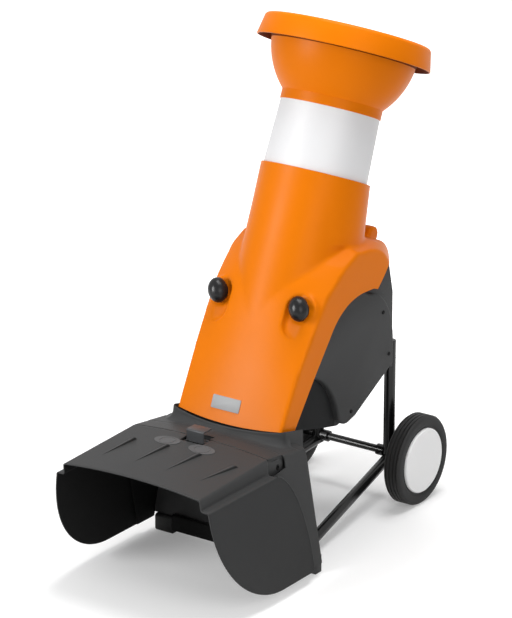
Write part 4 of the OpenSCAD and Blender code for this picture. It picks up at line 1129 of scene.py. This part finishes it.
def make_base():
    """Shell with its step, cut out for the latch, with the collar and the plates."""
    notch_half = latch_w / 2 + 0.001
    shaded_below = 0.29
    bm = base_body()
    merge_in(bm, strip_sheet(strip_x, base_seam, base_step))
    merge_in(bm, strip_sheet(0.2025, (-0.761, 0.349), (-0.701, 0.3545)))
    obj = thick_sheet("discharge_shell", bm)
    carve(obj, box_between((-notch_half, -0.739, 0.349), (notch_half, -0.685, 0.42)))
    with editing(obj) as bm:
        for plate in [collar_ring()] + base_plates():
            merge_in(bm, plate)
        # Front-facing faces low down take painted shade, like the shell's inner faces
        mark_where(bm, 1, lambda face, middle: middle.z < shaded_below and face.normal.y < -0.7)
    finish_piece(obj, "chassis", "dark_plastic", "discharge_base", sharp=35, further=("painted_shade_and_black",))


def make_latch():
    """Bent spring plate: up from its pin, over the flap's edge and back."""
    y, z = latch_pivot
    half = latch_w / 2
    edge_round = 0.000448
    pin_r = 0.0058
    outer = [(-0.004, -0.001), (-0.033, 0.008)]
    outer += rounded_corner((-0.033, 0.008), (-0.035, 0.041), (0.002, 0.041), 0.004, 6)
    outer += [(0.002, 0.041)]
    inner = [(0.002, 0.038)]
    inner += rounded_corner((0.002, 0.038), (-0.032, 0.038), (-0.0302, 0.0103), 0.0022, 4)
    inner += [(-0.0302, 0.0103), (0.0, 0.002)]
    bm = side_prism([(y + u, z + v) for u, v in outer + inner], -half, half)
    bevel(bm, sharp_edges(bm, 50), edge_round, 2)
    merge_in(bm, rod(from_axle(-half, y, z), from_axle(half, y, z), pin_r, 24))
    mark(bm.faces, 1)
    finish_piece(to_object("latch_plate", bm), "latch", "dark_plastic", "latch", further=("latch_grey",))


make_base()
make_latch()


# Side covers, housing and frame tubes

def make_cover(side, name):
    """Raised cover with a soft outer edge over the belly of the housing."""
    near, far = side * housing_x, side * (housing_x + cover_out)
    edge_round = 0.006
    outline = arc((-0.163, 0.468), 0.117, 0.166, 90, 0, 16) + [(-0.046, housing_low + 0.108)]
    outline += [(-0.228, housing_low + 0.012)] + arc((-0.268, housing_low + 0.045), 0.042, 0.042, 280, 215, 8)
    outline += arc((-0.470, housing_low - 0.020), 0.168, 0.205, 12, 86, 16)
    outline += [(-0.464, 0.510), (-0.404, 0.590), (-0.330, 0.640), (-0.250, 0.660), (-0.200, 0.656)]
    bm = side_prism(outline, near, far)
    rim = [e for e in bm.edges if all(abs(v.co.x - far) < 1e-5 for v in e.verts)]
    bevel(bm, rim, edge_round, 4)
    finish_piece(to_object("cover_" + name, bm), "chassis", "dark_plastic", "side_cover_" + name)


def node_copy(node):
    """Copy of a CAD node with its doubles merged and its flat faces joined."""
    bm = bmesh.new()
    bm.from_mesh(frame["nodes"][node].data)
    bmesh.ops.remove_doubles(bm, verts=bm.verts, dist=merge_gap)
    bmesh.ops.dissolve_limit(bm, angle_limit=math.radians(1), verts=bm.verts, edges=bm.edges)
    return bm


def softened(name, node, body, width):
    """Copy of a CAD node with its edges rounded."""
    obj = to_object(name, node_copy(node))
    soft_edges(obj, width, node_angle)
    finish_piece(obj, body, slot_of[node], node)


def make_housing():
    """Tub with soft edges, painted shade on its flanks ahead of the covers, and its rear top drawn in."""
    recess_y = axle_y - 0.30
    drawn_from, drawn_in = 0.60, 0.17
    edge_round = 0.0022
    bm = node_copy("housing")
    for point, normal in (((0, recess_y, 0), (0, 1, 0)), ((0, 0, drawn_from), (0, 0, 1))):
        everything = bm.verts[:] + bm.edges[:] + bm.faces[:]
        bmesh.ops.bisect_plane(bm, geom=everything, plane_co=point, plane_no=normal)
    for v in bm.verts:
        v.co.x -= math.copysign(min(abs(v.co.x), max(0, v.co.z - drawn_from) * drawn_in), v.co.x)
    # Flank faces ahead of the covers take a darker finish: painted shade
    mark_where(bm, 1, lambda face, middle: abs(face.normal.x) > 0.5 and middle.y < recess_y)
    obj = to_object("housing_tub", bm)
    soft_edges(obj, edge_round, node_angle)
    finish_piece(obj, "chassis", "dark_plastic", "housing", further=("recess_painted_shade",))


def make_tubes(side, name):
    """Leg and rail of one side as plain round tubes with soft ends."""
    x = side * leg_x
    leg_below, rail_below, end_round = 0.022, 0.014, 0.0015
    leg = (from_axle(x, 0, axle_z - leg_below), from_axle(x, 0, leg_top))
    rail = (from_axle(x, 0, axle_z - rail_below), from_axle(side * rail_front[0], *rail_front[1:]))
    for ends, radius, kind in ((leg, leg_r, "leg"), (rail, rail_r, "rail")):
        bm = rod(*ends, radius, 40)
        bevel(bm, sharp_edges(bm, 60), end_round, 3)
        finish_piece(to_object(kind + "_tube_" + name, bm), "chassis", "black_paint", kind + "_" + name)


for cover_side, cover_name in sides:
    make_cover(cover_side, cover_name)
    make_tubes(cover_side, cover_name)
    softened("foot_block_" + cover_name, "foot_" + cover_name, "chassis", 0.003)
make_housing()
softened("switch_case", "switch_box", "chassis", 0.0016)
softened("inlet_case", "power_inlet", "chassis", 0.0012)
softened("start_cap", "start_button", "start_button", 0.0016)
softened("stop_cap", "stop_button", "stop_button", 0.0016)


# Wheels

def on_wheel(side, out):
    """Place of a turned wheel piece, with its local z pointing outward."""
    return Matrix.Translation((side * out, axle_y, axle_z)) @ Matrix.Rotation(side * math.pi / 2, 4, "Y")


def make_hub_cap(side, name):
    """Slightly domed cap with a thin ring groove and a rounded rim."""
    r, out, wall = cap_r, 0.0045, 0.0025
    groove = r * 0.88
    inner_r, skirt = r - wall, -0.012
    profile = [(0.0, out)] + [(r * i / 8 * 0.86, out - 0.0008 * (i / 8) ** 2) for i in range(1, 9)]
    profile += [(groove, out - 0.0009), (groove + 0.0006, out - 0.0016), (groove + 0.0018, out - 0.0016),
                (groove + 0.0024, out - 0.001)]
    profile += arc((r - 0.005, out - 0.0065), 0.005, 0.0055, 90, 0, 6)
    profile += [(r, skirt), (inner_r, skirt), (inner_r, out - 0.009), (r - 0.016, out - 0.0045),
                (0.0, out - 0.004)]
    bm = turned(profile, closed=False)
    transform(bm, on_wheel(side, wheel_x + wheel_w / 2))
    seal(bm)
    finish_piece(to_object("cap_" + name, bm), "wheel_" + name, "pale_cap", "hub_cap_" + name)


def make_tyre(side, name):
    """Tyre with ring grooves in its tread and paler side walls."""
    half = wheel_w / 2
    round_r = 0.010
    grooves, groove, deep = 4, 0.003, 0.003
    margin = 0.009
    span = wheel_w - 2 * margin
    profile = [(rim_r, -half + 0.004), (rim_r + 0.004, -half + 0.001), (rim_r + 0.009, -half)]
    profile += arc((wheel_r - round_r, -half + round_r), round_r, round_r, -90, -8, 6)
    for i in range(grooves):
        at = -span / 2 + span * i / (grooves - 1)
        profile += [(wheel_r, at - groove / 2 - 0.0008), (wheel_r - deep, at - groove / 2 + 0.0004),
                    (wheel_r - deep, at + groove / 2 - 0.0004), (wheel_r, at + groove / 2 + 0.0008)]
    profile += arc((wheel_r - round_r, half - round_r), round_r, round_r, 8, 90, 6)
    profile += [(rim_r + 0.009, half), (rim_r + 0.004, half - 0.001), (rim_r, half - 0.004)]
    bm = turned(profile, 128)
    transform(bm, on_wheel(side, wheel_x))

    def on_side(face, middle):
        reach = math.hypot(middle.y - axle_y, middle.z - axle_z)
        return abs(face.normal.x) > 0.5 and reach < wheel_r - 0.003

    mark_where(bm, 1, on_side)
    finish_piece(to_object("tyre_" + name + "_tread", bm), "wheel_" + name, "rubber", "tyre_" + name,
                 sharp=40, further=("tyre_side",))


for wheel_side, wheel_name in sides:
    make_tyre(wheel_side, wheel_name)
    make_hub_cap(wheel_side, wheel_name)


# Floor, light and camera

def seen_directly(tree):
    """1 for rays from the camera, a mirror or glass."""
    path = add_node(tree, "LightPath")
    either = add_node(tree, "Math", {0: path["Is Camera Ray"], 1: path["Is Glossy Ray"]}, operation="MAXIMUM")
    looks = {0: either["Value"], 1: path["Is Transmission Ray"]}
    return add_node(tree, "Math", looks, operation="MAXIMUM")["Value"]


def floor_material():
    """Pale floor that keeps the object's shadow and shows white further out."""
    material = bpy.data.materials.new("studio_floor")
    material.use_nodes = True
    tree = material.node_tree
    tree.nodes.clear()
    paint = add_node(tree, "BsdfDiffuse", {"Color": (0.8, 0.8, 0.8, 1)})
    away = add_node(tree, "VectorMath", {0: add_node(tree, "TexCoord")["Object"]}, operation="LENGTH")
    rise = add_node(tree, "MapRange", {"Value": away["Value"], "From Min": 0.4, "From Max": 2.0,
                                       "To Min": 0.24, "To Max": 1.0})
    strength = add_node(tree, "Math", {0: seen_directly(tree), 1: rise["Result"]}, operation="MULTIPLY")
    glow = add_node(tree, "Emission", {"Strength": strength["Value"]})
    both = add_node(tree, "AddShader", {0: paint["BSDF"], 1: glow["Emission"]})
    add_node(tree, "OutputMaterial", {"Surface": both["Shader"]})
    return material


def make_floor():
    """Wide flat floor."""
    bm = bmesh.new()
    bmesh.ops.create_grid(bm, x_segments=1, y_segments=1, size=20)
    floor = to_object("studio_floor", bm)
    floor.data.materials.append(floor_material())


def soft_light(name, place, target, size, power, tall=None):
    """Round area light, or a tall upright one, aimed at the target."""
    lamp = bpy.data.lights.new(name, "AREA")
    lamp.shape = "RECTANGLE" if tall else "DISK"
    lamp.size = size
    lamp.size_y = tall or size
    lamp.energy = power
    obj = bpy.data.objects.new(name, lamp)
    obj.location = place
    obj.rotation_euler = (Vector(target) - Vector(place)).to_track_quat("-Z", "Y").to_euler()
    bpy.context.scene.collection.objects.link(obj)
    return obj


def make_world():
    """White to look at, dim as a light."""
    world = bpy.data.worlds.new("studio")
    world.use_nodes = True
    tree = world.node_tree
    tree.nodes.clear()
    dim = add_node(tree, "Background", {"Color": (1, 1, 1, 1), "Strength": 0.30})
    white = add_node(tree, "Background", {"Color": (1, 1, 1, 1)})
    mix = add_node(tree, "MixShader", {0: seen_directly(tree), 1: dim["Background"],
                                       2: white["Background"]})
    add_node(tree, "OutputWorld", {"Surface": mix["Shader"]})
    bpy.context.scene.world = world


def make_camera():
    """Camera of the photograph: 35.2 degrees round to the right of the front, 19.7 degrees up."""
    azimuth, elevation = math.radians(35.2), math.radians(19.74)
    distance = 9.093
    focal = 3509
    image_height = 618
    target = from_axle(0, -0.4633, 0.6497)
    back = Vector((math.sin(azimuth) * math.cos(elevation), -math.cos(azimuth) * math.cos(elevation),
                   math.sin(elevation)))
    lens = bpy.data.cameras.new("photo_camera")
    lens.sensor_width = 36
    lens.lens = focal * lens.sensor_width / image_height
    camera = bpy.data.objects.new("photo_camera", lens)
    camera.location = target + back * distance
    camera.rotation_euler = (-back).to_track_quat("-Z", "Y").to_euler()
    bpy.context.scene.collection.objects.link(camera)
    bpy.context.scene.camera = camera


make_floor()
make_world()
make_camera()
soft_light("key", (-2.0, -4.4, 2.3), (0, -0.1, 0.6), 2.2, 145)
soft_light("fill", (3.4, -2.2, 2.4), (0, 0, 0.6), 2.5, 50)
soft_light("strip", (-2.4, -4.2, 2.3), (0, -0.1, 0.8), 0.9, 180, tall=3.0).visible_diffuse = False
soft_light("top", (0.3, 0.6, 4.2), (0, 0, 0.5), 2.5, 125)
bpy.context.scene.view_settings.view_transform = "Standard"
